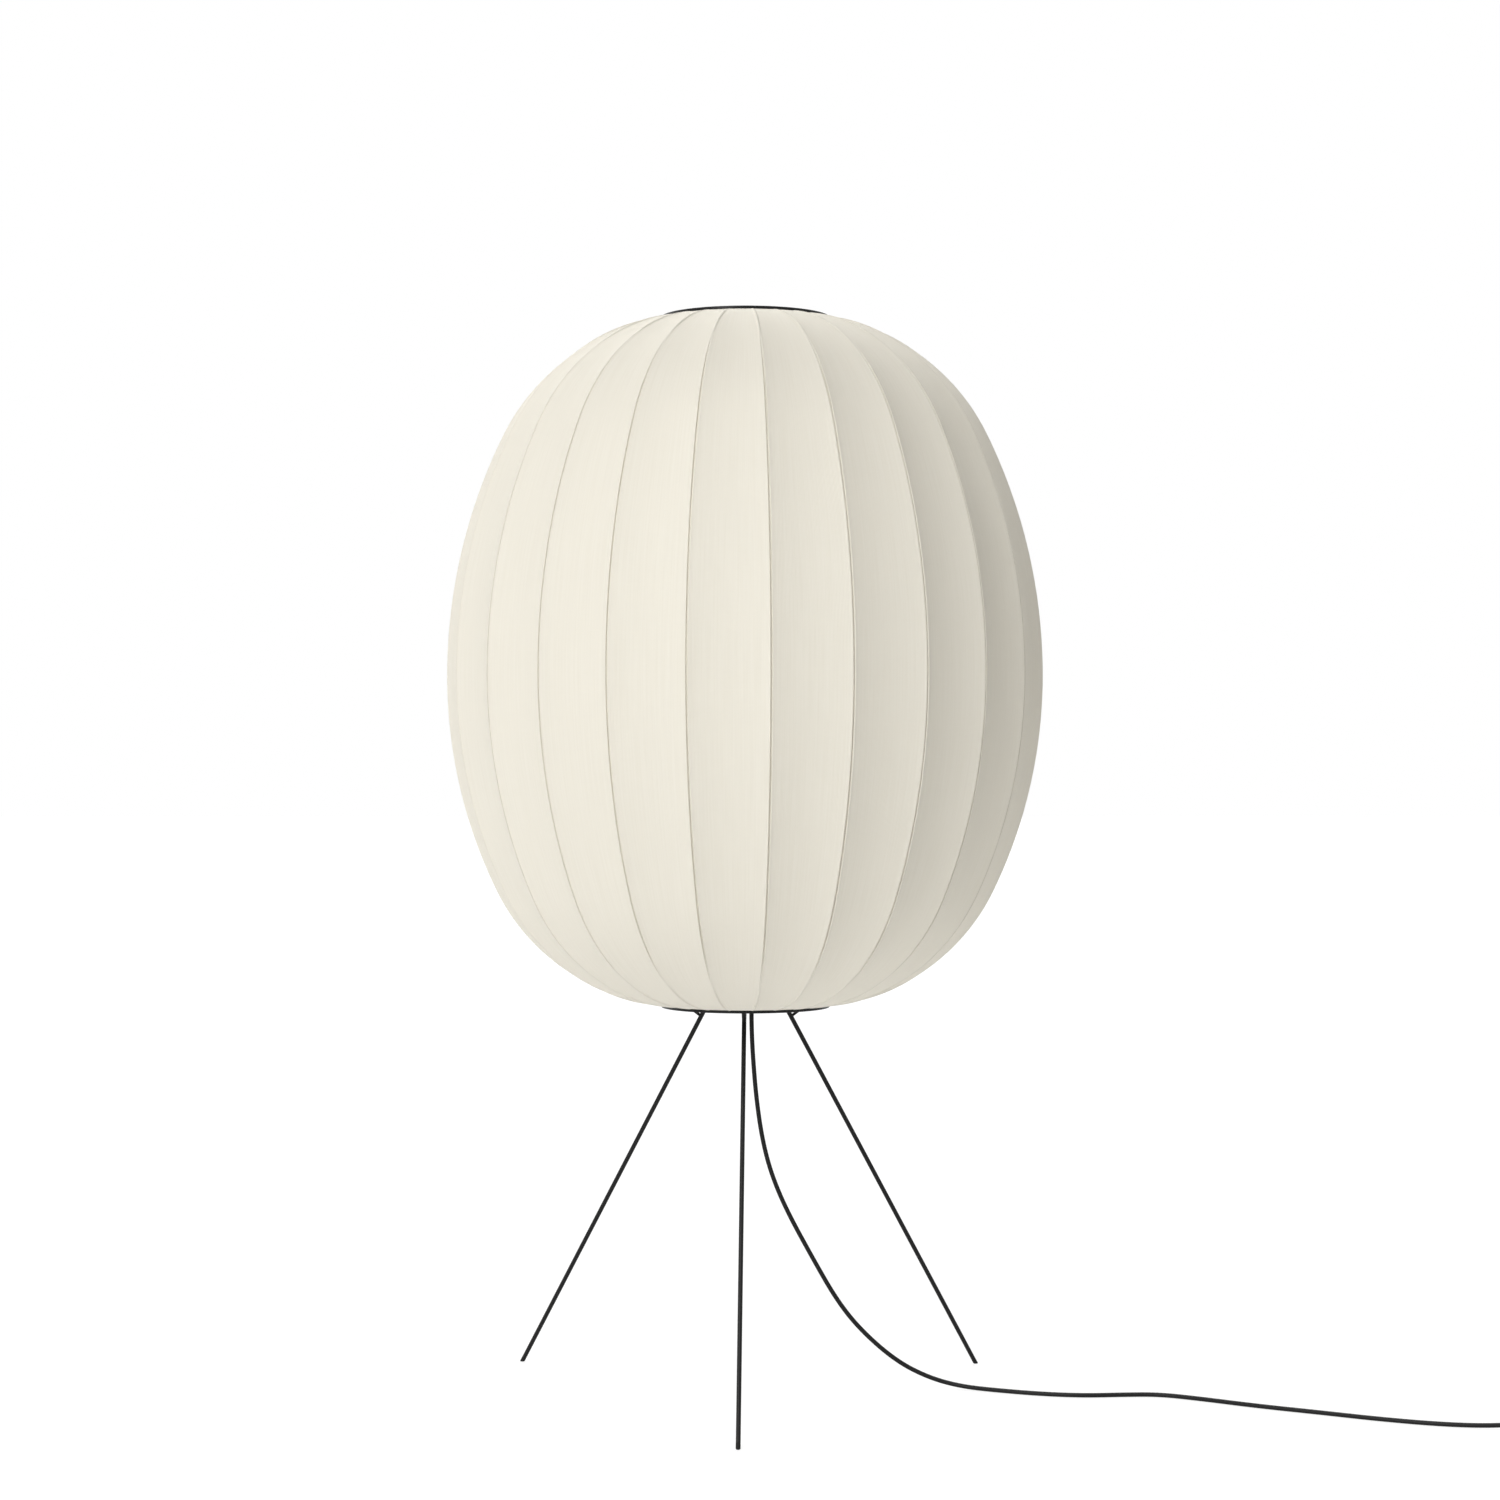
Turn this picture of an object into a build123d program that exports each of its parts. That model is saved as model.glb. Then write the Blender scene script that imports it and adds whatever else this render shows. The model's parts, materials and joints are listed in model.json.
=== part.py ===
from build123d import *
import os
from math import asin, atan, atan2, cos, degrees, dist, radians, sin, sqrt, tan

# A floor lamp: a knitted cover stretched over bowed ribs, on a tripod of thin rods.
# Millimetres, +Z up, origin on the floor under the middle of the shade, front towards -Y.

# Shade
shade_diameter = 650.0
widest_share = 0.4788
rib_count = 24
first_rib_angle = -84.0
fabric_thickness = 1.2
lower_shoulder_share = 0.9614
upper_shoulder_share = 1.0086
lower_hem_slope = 5.7
upper_hem_slope = 9.5
hem_clearance = 0.2
hem_tuck = 6.0
rib_width = 2.6
rib_clearance = 0.3
flank_runs = 4
shoulder_runs = 6

# Top ring, bottom plate and the clamp rings that hold the rib ends
total_height = 1172.0
base_height = 418.0
ring_diameter = 184.0
ring_thickness = 3.0
ring_bore = 150.0
ring_sides = 48
clamp_height = 8.0
clamp_lip_width = 9.0
clamp_lip_play = 1.0
slot_clearance = 0.15
slot_tail = 0.5
clamp_screw_count = 3
hub_diameter = 84.0
spoke_width = 18.0

# Screws
screw_diameter = 4.0
screw_play = 0.3
screw_thread_gap = 0.05
screw_head_diameter = 7.0
screw_head_height = 2.4
screw_recess = 1.2
screw_socket = 2.5

# Legs
leg_angles = {"front": -90.0, "rear_right": 30.0, "rear_left": 150.0}
leg_diameter = 5.0
rod_sides = 16
leg_top_radius = 49.5
leg_foot_radius = 299.0
leg_hole_play = 0.4
tab_drop = 12.8
tab_width = 4.4
tab_thickness = 1.8
foot_tip_length = 6.0
foot_spigot_diameter = 2.6
foot_spigot_length = 5.0
foot_spigot_play = 0.05
foot_chamfer = 0.6
leg_flat_tolerance = 0.01
wedge_diameter = 11.0
wedge_least_height = 1.5
nut_height = 4.0
nut_across_flats = 8.0
leg_end_past_nut = 2.0

# Holder bracket, a bent strip that carries the lampholder
bracket_height = 110.0
bracket_width = 20.0
bracket_span = 44.0
bracket_thickness = 2.0
bracket_foot = 14.0
bracket_bend_radius = 3.0

# Threaded tube, its nut and the cord grip under it
tube_diameter = 10.0
tube_bore = 7.6
tube_below = 14.0
tube_above = 9.0
tube_play = 0.2
thread_gap = 0.05
tube_nut_height = 3.0
tube_nut_across_flats = 14.0
grip_diameter = 14.0
grip_floor = 3.0

# Lampholder for an E27 cap
holder_diameter = 42.0
holder_wall = 2.0
holder_cap_height = 24.0
holder_cap_neck = 22.0
holder_body_height = 42.0
holder_floor = 3.0
shade_ring_diameter = 52.0
shade_ring_height = 8.0
insulator_diameter = 33.0
insulator_height = 12.0
screw_shell_diameter = 28.6
screw_shell_wall = 0.6
screw_shell_height = 22.0
contact_width = 7.0
contact_rise = 3.0
contact_thickness = 0.8

# Bulb
bulb_cap_diameter = 26.2
bulb_cap_wall = 0.8
bulb_cap_height = 22.0
bulb_contact_diameter = 9.0
bulb_contact_height = 2.5
bulb_insulator_height = 3.5
bulb_collar_diameter = 40.0
bulb_collar_height = 26.0
bulb_globe_diameter = 60.0
bulb_globe_wall = 1.0
bulb_globe_bands = 5
bulb_seat_gap = 0.1

# Cord
cord_diameter = 5.0
cord_sides = 6
cord_exit = (6.4, 9.0)
grommet_wall = 2.0
grommet_flange = 1.5
grommet_flange_height = 1.0
grommet_play = 0.1
bend_share = 0.45
grip_entry = 26.0
# Points of the hanging and lying cord, measured in the photo, from the plate to the switch
lead_points = (
    (6.4, 9.0, 418.0),
    (6.4, 9.0, 396.0),
    (8.0, 8.9, 362.0),
    (11.8, 8.9, 316.0),
    (18.3, 8.9, 271.5),
    (28.3, 8.9, 233.5),
    (44.8, 8.6, 194.5),
    (71.6, 8.3, 145.3),
    (99.8, 8.2, 96.1),
    (126.2, 8.1, 63.3),
    (163.7, 8.0, 30.6),
    (198.7, 7.9, 12.4),
    (234.7, 7.1, 2.5),
    (277.5, -15.2, 2.5),
    (322.9, -32.1, 2.5),
    (367.1, -39.0, 2.5),
    (410.9, -33.0, 2.5),
    (448.9, -31.0, 2.5),
    (491.5, -54.0, 2.5),
    (547.4, -89.7, 2.5),
    (607.1, -120.2, 2.5),
    (658.8, -148.9, 2.5),
    (714.4, -172.6, 2.5),
    (760.0, -181.5, 2.5),
    (794.0, -183.4, 4.0),
    (819.0, -183.0, 6.0),
)

# Foot switch on the cord
switch_length = 70.0
switch_width = 40.0
switch_height = 24.0
switch_wall = 2.0
switch_split = 10.0
switch_corner = 9.0
switch_centre = (890.0, -183.0)
switch_axis_height = 6.0
button_diameter = 22.0
button_play = 0.4
button_rise = 5.0
button_flange = 1.6
button_flange_height = 1.5
relief_length = 22.0
relief_root_diameter = 8.0
relief_tip_diameter = 6.4
relief_play = 0.1

# Coil of the cord's unseen length
coil_start = (993.0, -122.0)
coil_radius = 31.0
coil_pitch = 5.6
coil_layer_step = 5.5
coil_half_turns_in = 2
coil_half_turns_out = 1
coil_end_run = 20.0
gap_sample_step = 4.0

# Plug
plug_length = 36.0
plug_width = 35.0
plug_tip_width = 26.0
plug_edge = 3.0
pin_diameter = 4.0
pin_sleeve_diameter = 3.8
pin_sleeve_length = 10.0
pin_length = 19.0
pin_spacing = 19.0
pin_seat = 6.0

# Small turned pieces are many-sided, all with the same number of sides
turned_sides = 20

parts_folder = "parts"
os.makedirs(parts_folder, exist_ok=True)


def save(builder, name):
    """Label a finished piece and write it as its own STEP file."""
    builder.part.label = name
    export_step(builder.part, f"{parts_folder}/{name}.step")


# Shade outline
# Each half is a two-centre oval: a shoulder arc that leaves the ring at the hem's slope, and a
# long side arc that ends upright at the widest height. Both are moved inwards by an inset.

half_gore_angle = 180.0 / rib_count
apothem_share = cos(radians(half_gore_angle))
ring_radius = ring_diameter / 2
bottom_face = base_height + ring_thickness
top_face = total_height - ring_thickness
lower_hem_height = bottom_face + hem_clearance
upper_hem_height = top_face - hem_clearance
hem_radius = ring_radius + hem_clearance
widest_height = base_height + widest_share * (total_height - base_height)
shade_overhang = (shade_diameter - ring_diameter) / 2


def half_oval(side, inset, share):
    """Centres, radii and angles of one half outline; side is 1 above the widest height, -1 below."""
    hem_z = upper_hem_height if side > 0 else lower_hem_height
    slope = radians(upper_hem_slope if side > 0 else lower_hem_slope)
    shoulder = shade_overhang * (upper_shoulder_share if side > 0 else lower_shoulder_share)
    widest = shade_diameter / 2 * share
    rise = (hem_z - widest_height) * side
    centre_r = hem_radius * share - shoulder * sin(slope)
    centre_rise = rise - shoulder * cos(slope)
    reach = widest - centre_r
    flank = (reach**2 + centre_rise**2 - shoulder**2) / (2 * (reach - shoulder))
    turn = atan2(centre_rise, centre_r - (widest - flank))
    return {
        "shoulder_centre": (centre_r, widest_height + side * centre_rise),
        "flank_centre": (widest - flank, widest_height),
        "shoulder": shoulder - inset,
        "flank": flank - inset,
        "turn": side * degrees(turn),
        "hem": side * (90 - degrees(slope)),
    }


def outline_point(oval, part, angle):
    """A point of the outline, as radius and height."""
    r, z = oval[part + "_centre"]
    return (r + oval[part] * cos(radians(angle)), z + oval[part] * sin(radians(angle)))


def section_outline(inset, thickness, inner_radius, share):
    """The corners of a thin section along the outline: short straight runs with level ends at both rings."""
    lines = []
    for depth in (inset, inset + thickness):
        halves = []
        for side in (1, -1):
            oval = half_oval(side, depth, share)
            turn = oval["turn"]
            hem = oval["hem"]
            flank = [outline_point(oval, "flank", turn * n / flank_runs) for n in range(flank_runs)]
            shoulder_step = (hem - turn) / shoulder_runs
            shoulder = [
                outline_point(oval, "shoulder", turn + shoulder_step * n) for n in range(shoulder_runs + 1)
            ]
            halves.append(flank + shoulder + [(inner_radius, shoulder[-1][1])])
        lines.append(halves[0][::-1] + halves[1][1:])
    return lines[0] + lines[1][::-1]


def upright_plane(angle):
    """The upright plane through the lamp's axis: local x points outwards, local y up."""
    outwards = (cos(radians(angle)), sin(radians(angle)), 0)
    across = (sin(radians(angle)), -cos(radians(angle)), 0)
    return Plane(origin=(0, 0, 0), x_dir=outwards, z_dir=across)


# Knitted cover: one flat-faced gore between two ribs, repeated all round

gore_angle = first_rib_angle + half_gore_angle
hem_inner_radius = ring_radius - hem_tuck

gore_edges = [
    (shade_diameter * cos(radians(angle)), shade_diameter * sin(radians(angle)))
    for angle in (first_rib_angle, gore_angle + half_gore_angle)
]
with BuildPart() as gore:
    with BuildSketch(upright_plane(gore_angle)):
        hem_apothem = hem_inner_radius * apothem_share
        Polygon(*section_outline(0, fabric_thickness, hem_apothem, apothem_share), align=None)
    extrude(amount=shade_diameter, both=True)
    with BuildSketch(Plane.XY):
        Polygon((0, 0), *gore_edges, align=None)
    extrude(amount=total_height, mode=Mode.INTERSECT)

with BuildPart() as shade_fabric:
    with PolarLocations(0, rib_count):
        add(gore.part)
save(shade_fabric, "shade_fabric")

# Ribs: square spring wire just inside each corner of the cover, with level ends in the clamps

rib_inset = fabric_thickness / apothem_share + rib_clearance
rib_end_radius = ring_radius - clamp_lip_width

for number in range(rib_count):
    with BuildPart() as rib:
        with BuildSketch(upright_plane(first_rib_angle + number * 360 / rib_count)):
            Polygon(*section_outline(rib_inset, rib_width, rib_end_radius, 1), align=None)
        extrude(amount=rib_width / 2, both=True)
    save(rib, f"rib_{number + 1:02d}")


# Clamp rings: a lip bears on the plate, and radial slots take the rib ends over the hem

clamp_screw_radius = (ring_bore / 2 + rib_end_radius) / 2
clamp_lip_radius = hem_inner_radius - clamp_lip_play
clamp_bore_radius = ring_bore / 2 / apothem_share
screw_angles = [gore_angle + number * 360 / clamp_screw_count for number in range(clamp_screw_count)]


def rib_stub_heights(side):
    """How far the near and far faces of a rib's level end stand off the plate."""
    face = top_face if side > 0 else bottom_face
    near, far = (
        outline_point(oval, "shoulder", oval["hem"])[1]
        for oval in (half_oval(side, rib_inset, 1), half_oval(side, rib_inset + rib_width, 1))
    )
    return abs(near - face), abs(far - face)


def make_clamp(side):
    """A clamp ring under the top ring (side 1) or on the bottom plate (side -1)."""
    face = Plane.XY.offset(top_face if side > 0 else bottom_face)
    near, far = rib_stub_heights(side)
    inwards = -side
    with BuildPart() as clamp:
        with BuildSketch(face):
            RegularPolygon(clamp_lip_radius, rib_count, rotation=first_rib_angle)
            RegularPolygon(clamp_bore_radius, rib_count, rotation=first_rib_angle, mode=Mode.SUBTRACT)
        extrude(amount=inwards * near)
        with BuildSketch(face.offset(inwards * near)):
            RegularPolygon(ring_radius, rib_count, rotation=first_rib_angle)
            RegularPolygon(clamp_bore_radius, rib_count, rotation=first_rib_angle, mode=Mode.SUBTRACT)
        extrude(amount=inwards * (clamp_height - near))
        with BuildSketch(face):
            with PolarLocations(0, rib_count, start_angle=first_rib_angle):
                with Locations(((rib_end_radius - slot_tail + ring_diameter) / 2, 0)):
                    Rectangle(ring_diameter - rib_end_radius + slot_tail, rib_width + 2 * slot_clearance)
        extrude(amount=inwards * (far + slot_clearance), mode=Mode.SUBTRACT)
        with BuildSketch(face):
            with PolarLocations(clamp_screw_radius, clamp_screw_count, start_angle=gore_angle):
                RegularPolygon((screw_diameter + screw_play) / 2, turned_sides)
        extrude(amount=inwards * clamp_height, mode=Mode.SUBTRACT)
    return clamp


def make_screws(seats, length, radius, angles):
    """Socket screws as separate solids; a seat is the height under the heads and the shanks' way."""
    with BuildPart() as screws:
        for seat, direction in seats:
            for angle in angles:
                centre = (radius * cos(radians(angle)), radius * sin(radians(angle)), seat)
                place = Plane(centre, z_dir=(0, 0, direction))
                with BuildSketch(place):
                    RegularPolygon(screw_diameter / 2 - screw_thread_gap, turned_sides)
                extrude(amount=length)
                with BuildSketch(place):
                    RegularPolygon(screw_head_diameter / 2, turned_sides)
                extrude(amount=-screw_head_height)
                with BuildSketch(place.offset(-screw_head_height)):
                    RegularPolygon(screw_socket / 2, 6, major_radius=False)
                extrude(amount=screw_recess, mode=Mode.SUBTRACT)
    return screws


save(make_clamp(1), "top_clamp_ring")
save(make_clamp(-1), "bottom_clamp_ring")

# Screws: three through each clamp ring, two through the feet of the holder bracket

clamp_screw_length = clamp_height + ring_thickness - 2 * hem_clearance
clamp_screw_seats = ((top_face - clamp_height, 1), (bottom_face + clamp_height, -1))
save(make_screws(clamp_screw_seats, clamp_screw_length, clamp_screw_radius, screw_angles), "clamp_screws")

bracket_screw_x = bracket_span / 2 + bracket_foot / 2
bracket_screw_angles = (0, 180)
bracket_screw_length = bracket_thickness + ring_thickness
bracket_screw_seats = ((bottom_face + bracket_thickness, -1),)
bracket_screws = make_screws(
    bracket_screw_seats, bracket_screw_length, bracket_screw_x, bracket_screw_angles
)
save(bracket_screws, "bracket_screws")

# Top ring

with BuildPart() as top_ring:
    with BuildSketch(Plane.XY.offset(top_face)):
        RegularPolygon(ring_radius, ring_sides, rotation=first_rib_angle)
        RegularPolygon(ring_bore / 2, ring_sides, rotation=first_rib_angle, mode=Mode.SUBTRACT)
    extrude(amount=ring_thickness)
    with BuildSketch(Plane.XY.offset(top_face)):
        with PolarLocations(clamp_screw_radius, clamp_screw_count, start_angle=gore_angle):
            RegularPolygon(screw_diameter / 2, turned_sides)
    extrude(amount=ring_thickness - hem_clearance, mode=Mode.SUBTRACT)
save(top_ring, "top_ring")

# Bottom plate: a rim, a hub and a spoke over each leg, with the legs' sloping holes

leg_run = leg_foot_radius - leg_top_radius
leg_slope = atan(leg_run / base_height)
leg_hole_length = 4 * ring_thickness / cos(leg_slope)
grommet_hole_radius = cord_diameter / 2 + grommet_play + grommet_wall


def leg_plane(angle, distance):
    """A plane square to a leg, at a distance down the leg from the bottom plate's underside."""
    radius = leg_top_radius + distance * sin(leg_slope)
    outwards = (cos(radians(angle)), sin(radians(angle)))
    return Plane(
        origin=(radius * outwards[0], radius * outwards[1], base_height - distance * cos(leg_slope)),
        x_dir=(-outwards[1], outwards[0], 0),
        z_dir=(sin(leg_slope) * outwards[0], sin(leg_slope) * outwards[1], -cos(leg_slope)),
    )


with BuildPart() as bottom_plate:
    with BuildSketch(Plane.XY.offset(base_height)):
        RegularPolygon(ring_radius, ring_sides, rotation=first_rib_angle)
        RegularPolygon(ring_bore / 2, ring_sides, rotation=first_rib_angle, mode=Mode.SUBTRACT)
        RegularPolygon(hub_diameter / 2, ring_sides)
        for spoke_angle in leg_angles.values():
            with PolarLocations(ring_bore / 4, 1, start_angle=spoke_angle):
                Rectangle(ring_bore / 2 + hem_tuck, spoke_width)
        with Locations(cord_exit):
            RegularPolygon(grommet_hole_radius, turned_sides, mode=Mode.SUBTRACT)
        with PolarLocations(clamp_screw_radius, clamp_screw_count, start_angle=gore_angle):
            RegularPolygon(screw_diameter / 2, turned_sides, mode=Mode.SUBTRACT)
        with PolarLocations(bracket_screw_x, len(bracket_screw_angles)):
            RegularPolygon(screw_diameter / 2, turned_sides, mode=Mode.SUBTRACT)
    extrude(amount=ring_thickness)
    for leg_angle in leg_angles.values():
        with BuildSketch(leg_plane(leg_angle, leg_hole_length / 2)):
            RegularPolygon((leg_diameter + leg_hole_play) / 2, rod_sides)
        extrude(amount=-leg_hole_length, mode=Mode.SUBTRACT)
save(bottom_plate, "bottom_plate")

# Legs: a rod through the plate, with a flat tab square to it that bears on the plate's underside

leg_length = base_height / cos(leg_slope)
wedge_rise = wedge_diameter * tan(leg_slope) / 2
wedge_height = wedge_least_height + wedge_rise
wedge_top = (ring_thickness + wedge_height) / cos(leg_slope)
leg_past_plate = wedge_top + nut_height + leg_end_past_nut
tip_start = leg_length - foot_tip_length
tab_distance = tab_drop / cos(leg_slope)
tab_length = tab_drop / sin(leg_slope) + leg_diameter


def tab_plane(angle):
    """The plane across a leg's tab, which goes outwards and up, square to the leg."""
    start = leg_plane(angle, tab_distance)
    outwards = (cos(radians(angle)), sin(radians(angle)))
    up_out = (cos(leg_slope) * outwards[0], cos(leg_slope) * outwards[1], sin(leg_slope))
    return Plane(origin=start.origin, x_dir=(-outwards[1], outwards[0], 0), z_dir=up_out)


def make_leg(angle):
    with BuildPart() as leg:
        with BuildSketch(tab_plane(angle)):
            Rectangle(tab_width, tab_thickness)
        extrude(amount=tab_length)
        with BuildSketch(Plane.XY.offset(base_height)):
            Circle(ring_radius)
        extrude(amount=tab_length, mode=Mode.SUBTRACT)
        with BuildSketch(leg_plane(angle, -leg_past_plate)):
            RegularPolygon(leg_diameter / 2, rod_sides)
        extrude(amount=leg_past_plate + tip_start)
        with BuildSketch(leg_plane(angle, tip_start)):
            RegularPolygon(foot_spigot_diameter / 2 + foot_spigot_play, rod_sides)
        extrude(amount=-(foot_spigot_length + foot_spigot_play), mode=Mode.SUBTRACT)
    return leg


for leg_name, leg_angle in leg_angles.items():
    save(make_leg(leg_angle), f"leg_{leg_name}")

# Foot tips: one on each leg's end, cut flat where it stands on the floor

with BuildPart() as foot_tips:
    for leg_angle in leg_angles.values():
        with BuildSketch(leg_plane(leg_angle, tip_start)):
            RegularPolygon(leg_diameter / 2, rod_sides)
        extrude(amount=2 * foot_tip_length)
        with BuildSketch(leg_plane(leg_angle, tip_start)):
            RegularPolygon(foot_spigot_diameter / 2, rod_sides)
        extrude(amount=-foot_spigot_length)
    with BuildSketch(Plane.XY):
        Circle(shade_diameter)
    extrude(amount=-leg_length, mode=Mode.SUBTRACT)
    soles = foot_tips.faces().filter_by(lambda face: abs(face.center().Z) < leg_flat_tolerance)
    chamfer(soles.edges(), foot_chamfer)
save(foot_tips, "foot_tips")

with BuildPart() as leg_wedges:
    for leg_angle in leg_angles.values():
        place = leg_plane(leg_angle, -wedge_top)
        with BuildSketch(place):
            RegularPolygon(wedge_diameter / 2, rod_sides)
            RegularPolygon((leg_diameter + leg_hole_play) / 2, rod_sides, mode=Mode.SUBTRACT)
        extrude(amount=wedge_top)
    with BuildSketch(Plane.XY.offset(bottom_face)):
        Circle(ring_radius)
    extrude(amount=-ring_diameter, mode=Mode.SUBTRACT)
save(leg_wedges, "leg_wedges")

with BuildPart() as leg_nuts:
    for leg_angle in leg_angles.values():
        with BuildSketch(leg_plane(leg_angle, -wedge_top)):
            RegularPolygon(nut_across_flats / 2, 6, major_radius=False)
            RegularPolygon(leg_diameter / 2 + thread_gap, rod_sides, mode=Mode.SUBTRACT)
        extrude(amount=-nut_height)
save(leg_nuts, "leg_nuts")

# Holder bracket: a strip bent to a tall bridge, screwed to the hub

bracket_underside = bottom_face + bracket_height
holder_seat = bracket_underside + bracket_thickness

with BuildPart() as holder_bracket:
    with BuildSketch(Plane.XZ):
        with BuildLine() as bracket_line:
            FilletPolyline(
                (-bracket_span / 2 - bracket_foot, bottom_face),
                (-bracket_span / 2, bottom_face),
                (-bracket_span / 2, bracket_underside),
                (bracket_span / 2, bracket_underside),
                (bracket_span / 2, bottom_face),
                (bracket_span / 2 + bracket_foot, bottom_face),
                radius=bracket_bend_radius,
            )
            offset(amount=bracket_thickness, side=Side.LEFT)
        make_face()
    extrude(amount=bracket_width / 2, both=True)
    with BuildSketch(Plane.XY.offset(bottom_face)):
        with PolarLocations(bracket_screw_x, len(bracket_screw_angles)):
            RegularPolygon((screw_diameter + screw_play) / 2, turned_sides)
    extrude(amount=bracket_thickness, mode=Mode.SUBTRACT)
    with BuildSketch(Plane.XY.offset(bracket_underside)):
        RegularPolygon(tube_diameter / 2 + tube_play, turned_sides)
    extrude(amount=2 * bracket_thickness, both=True, mode=Mode.SUBTRACT)
save(holder_bracket, "holder_bracket")

# Threaded tube through the bracket, with its nut and the cord grip below


def flat_sided_cone(low, low_radius, high, high_radius):
    """A cone frustum on the lamp's axis, made of flat faces."""
    angles = [radians(360 * n / turned_sides) for n in range(turned_sides)]
    rings = [
        [(radius * cos(angle), radius * sin(angle), height) for angle in angles]
        for height, radius in ((low, low_radius), (high, high_radius))
    ]
    faces = [Face(Wire.make_polygon(ring)) for ring in rings]
    for n in range(turned_sides):
        corners = (rings[0][n - 1], rings[0][n], rings[1][n], rings[1][n - 1])
        faces.append(Face(Wire.make_polygon(corners)))
    return Solid(Shell(faces))


def turned(outer, bore=(), centre=(0, 0)):
    """A turned piece with flats: bands between pairs of height and radius, less the bands of its bore."""
    with BuildPart() as piece:
        for bands, band_mode in ((outer, Mode.ADD), (bore, Mode.SUBTRACT)):
            for (low, low_radius), (high, high_radius) in zip(bands, bands[1:]):
                if high > low and low_radius == high_radius:
                    with BuildSketch(Plane.XY.offset(low)):
                        with Locations(centre):
                            RegularPolygon(low_radius, turned_sides)
                    extrude(amount=high - low, mode=band_mode)
                elif high > low:
                    add(flat_sided_cone(low, low_radius, high, high_radius), mode=band_mode)
    return piece


tube_radius = tube_diameter / 2
tube_hole_radius = tube_radius + thread_gap
tube_foot = holder_seat - tube_below
tube_head = holder_seat + tube_above
save(
    turned(
        ((tube_foot, tube_radius), (tube_head, tube_radius)),
        ((tube_foot, tube_bore / 2), (tube_head, tube_bore / 2)),
    ),
    "threaded_tube",
)

grip_top = bracket_underside - tube_nut_height
with BuildPart() as tube_nut:
    with BuildSketch(Plane.XY.offset(grip_top)):
        RegularPolygon(tube_nut_across_flats / 2, 6, major_radius=False)
        RegularPolygon(tube_hole_radius, turned_sides, mode=Mode.SUBTRACT)
    extrude(amount=tube_nut_height)
save(tube_nut, "tube_nut")

cord_radius = cord_diameter / 2
cord_hole_radius = cord_radius + grommet_play
grip_foot = tube_foot - grip_floor
grip_radius = grip_diameter / 2
save(
    turned(
        ((grip_foot, grip_radius), (grip_top, grip_radius)),
        (
            (grip_foot, cord_hole_radius),
            (tube_foot, cord_hole_radius),
            (tube_foot, tube_hole_radius),
            (grip_top, tube_hole_radius),
        ),
    ),
    "cord_grip",
)

# Grommet where the cord passes the bottom plate, flush below

sleeve_radius = grommet_hole_radius - thread_gap
flange_radius = grommet_hole_radius + grommet_flange
grommet_top = bottom_face + grommet_flange_height
save(
    turned(
        (
            (base_height, sleeve_radius),
            (bottom_face, sleeve_radius),
            (bottom_face, flange_radius),
            (grommet_top, flange_radius),
        ),
        ((base_height, cord_hole_radius), (grommet_top, cord_hole_radius)),
        cord_exit,
    ),
    "grommet",
)

# Lampholder: cap, body with its retaining ring, insulator, screw shell and centre contact

cap_top = holder_seat + holder_cap_height
body_top = cap_top + holder_body_height
holder_radius = holder_diameter / 2
holder_inner_radius = holder_radius - holder_wall
neck_radius = holder_cap_neck / 2
cap_floor_top = tube_head + holder_floor
save(
    turned(
        ((holder_seat, neck_radius), (cap_floor_top, holder_radius), (cap_top, holder_radius)),
        (
            (holder_seat, tube_hole_radius),
            (cap_floor_top, tube_hole_radius),
            (cap_floor_top, holder_inner_radius),
            (cap_top, holder_inner_radius),
        ),
    ),
    "holder_cap",
)

shell_foot = cap_top + insulator_height
insulator_radius = insulator_diameter / 2
save(
    turned(
        ((cap_top, holder_radius), (body_top, holder_radius)),
        (
            (cap_top, insulator_radius + thread_gap),
            (shell_foot, insulator_radius + thread_gap),
            (shell_foot, holder_inner_radius),
            (body_top, holder_inner_radius),
        ),
    ),
    "holder_body",
)

shade_ring_foot = cap_top + holder_wall
shade_ring_top = shade_ring_foot + shade_ring_height
shade_ring_radius = shade_ring_diameter / 2
save(
    turned(
        ((shade_ring_foot, shade_ring_radius), (shade_ring_top, shade_ring_radius)),
        ((shade_ring_foot, holder_radius + thread_gap), (shade_ring_top, holder_radius + thread_gap)),
    ),
    "holder_ring",
)

save(turned(((cap_top, insulator_radius), (shell_foot, insulator_radius))), "holder_insulator")

shell_radius = screw_shell_diameter / 2
shell_inner_radius = shell_radius - screw_shell_wall
shell_top = shell_foot + screw_shell_height
save(
    turned(
        ((shell_foot, shell_radius), (shell_top, shell_radius)),
        ((shell_foot, shell_inner_radius), (shell_top, shell_inner_radius)),
    ),
    "screw_shell",
)

contact_half = contact_width / 2
with BuildPart() as centre_contact:
    with BuildSketch(Plane.XZ):
        Polygon(
            (-contact_half, shell_foot),
            (contact_half, shell_foot),
            (contact_half, shell_foot + contact_thickness),
            (0, shell_foot + contact_rise),
            (-contact_half, shell_foot + contact_rise),
            (-contact_half, shell_foot + contact_rise - contact_thickness),
            (0, shell_foot + contact_rise - contact_thickness),
            (contact_half / 2, shell_foot + contact_thickness),
            (-contact_half, shell_foot + contact_thickness),
            align=None,
        )
    extrude(amount=contact_half / 2, both=True)
save(centre_contact, "centre_contact")

# Bulb: base contact in its insulator, screw cap, collar and a thin globe

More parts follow.
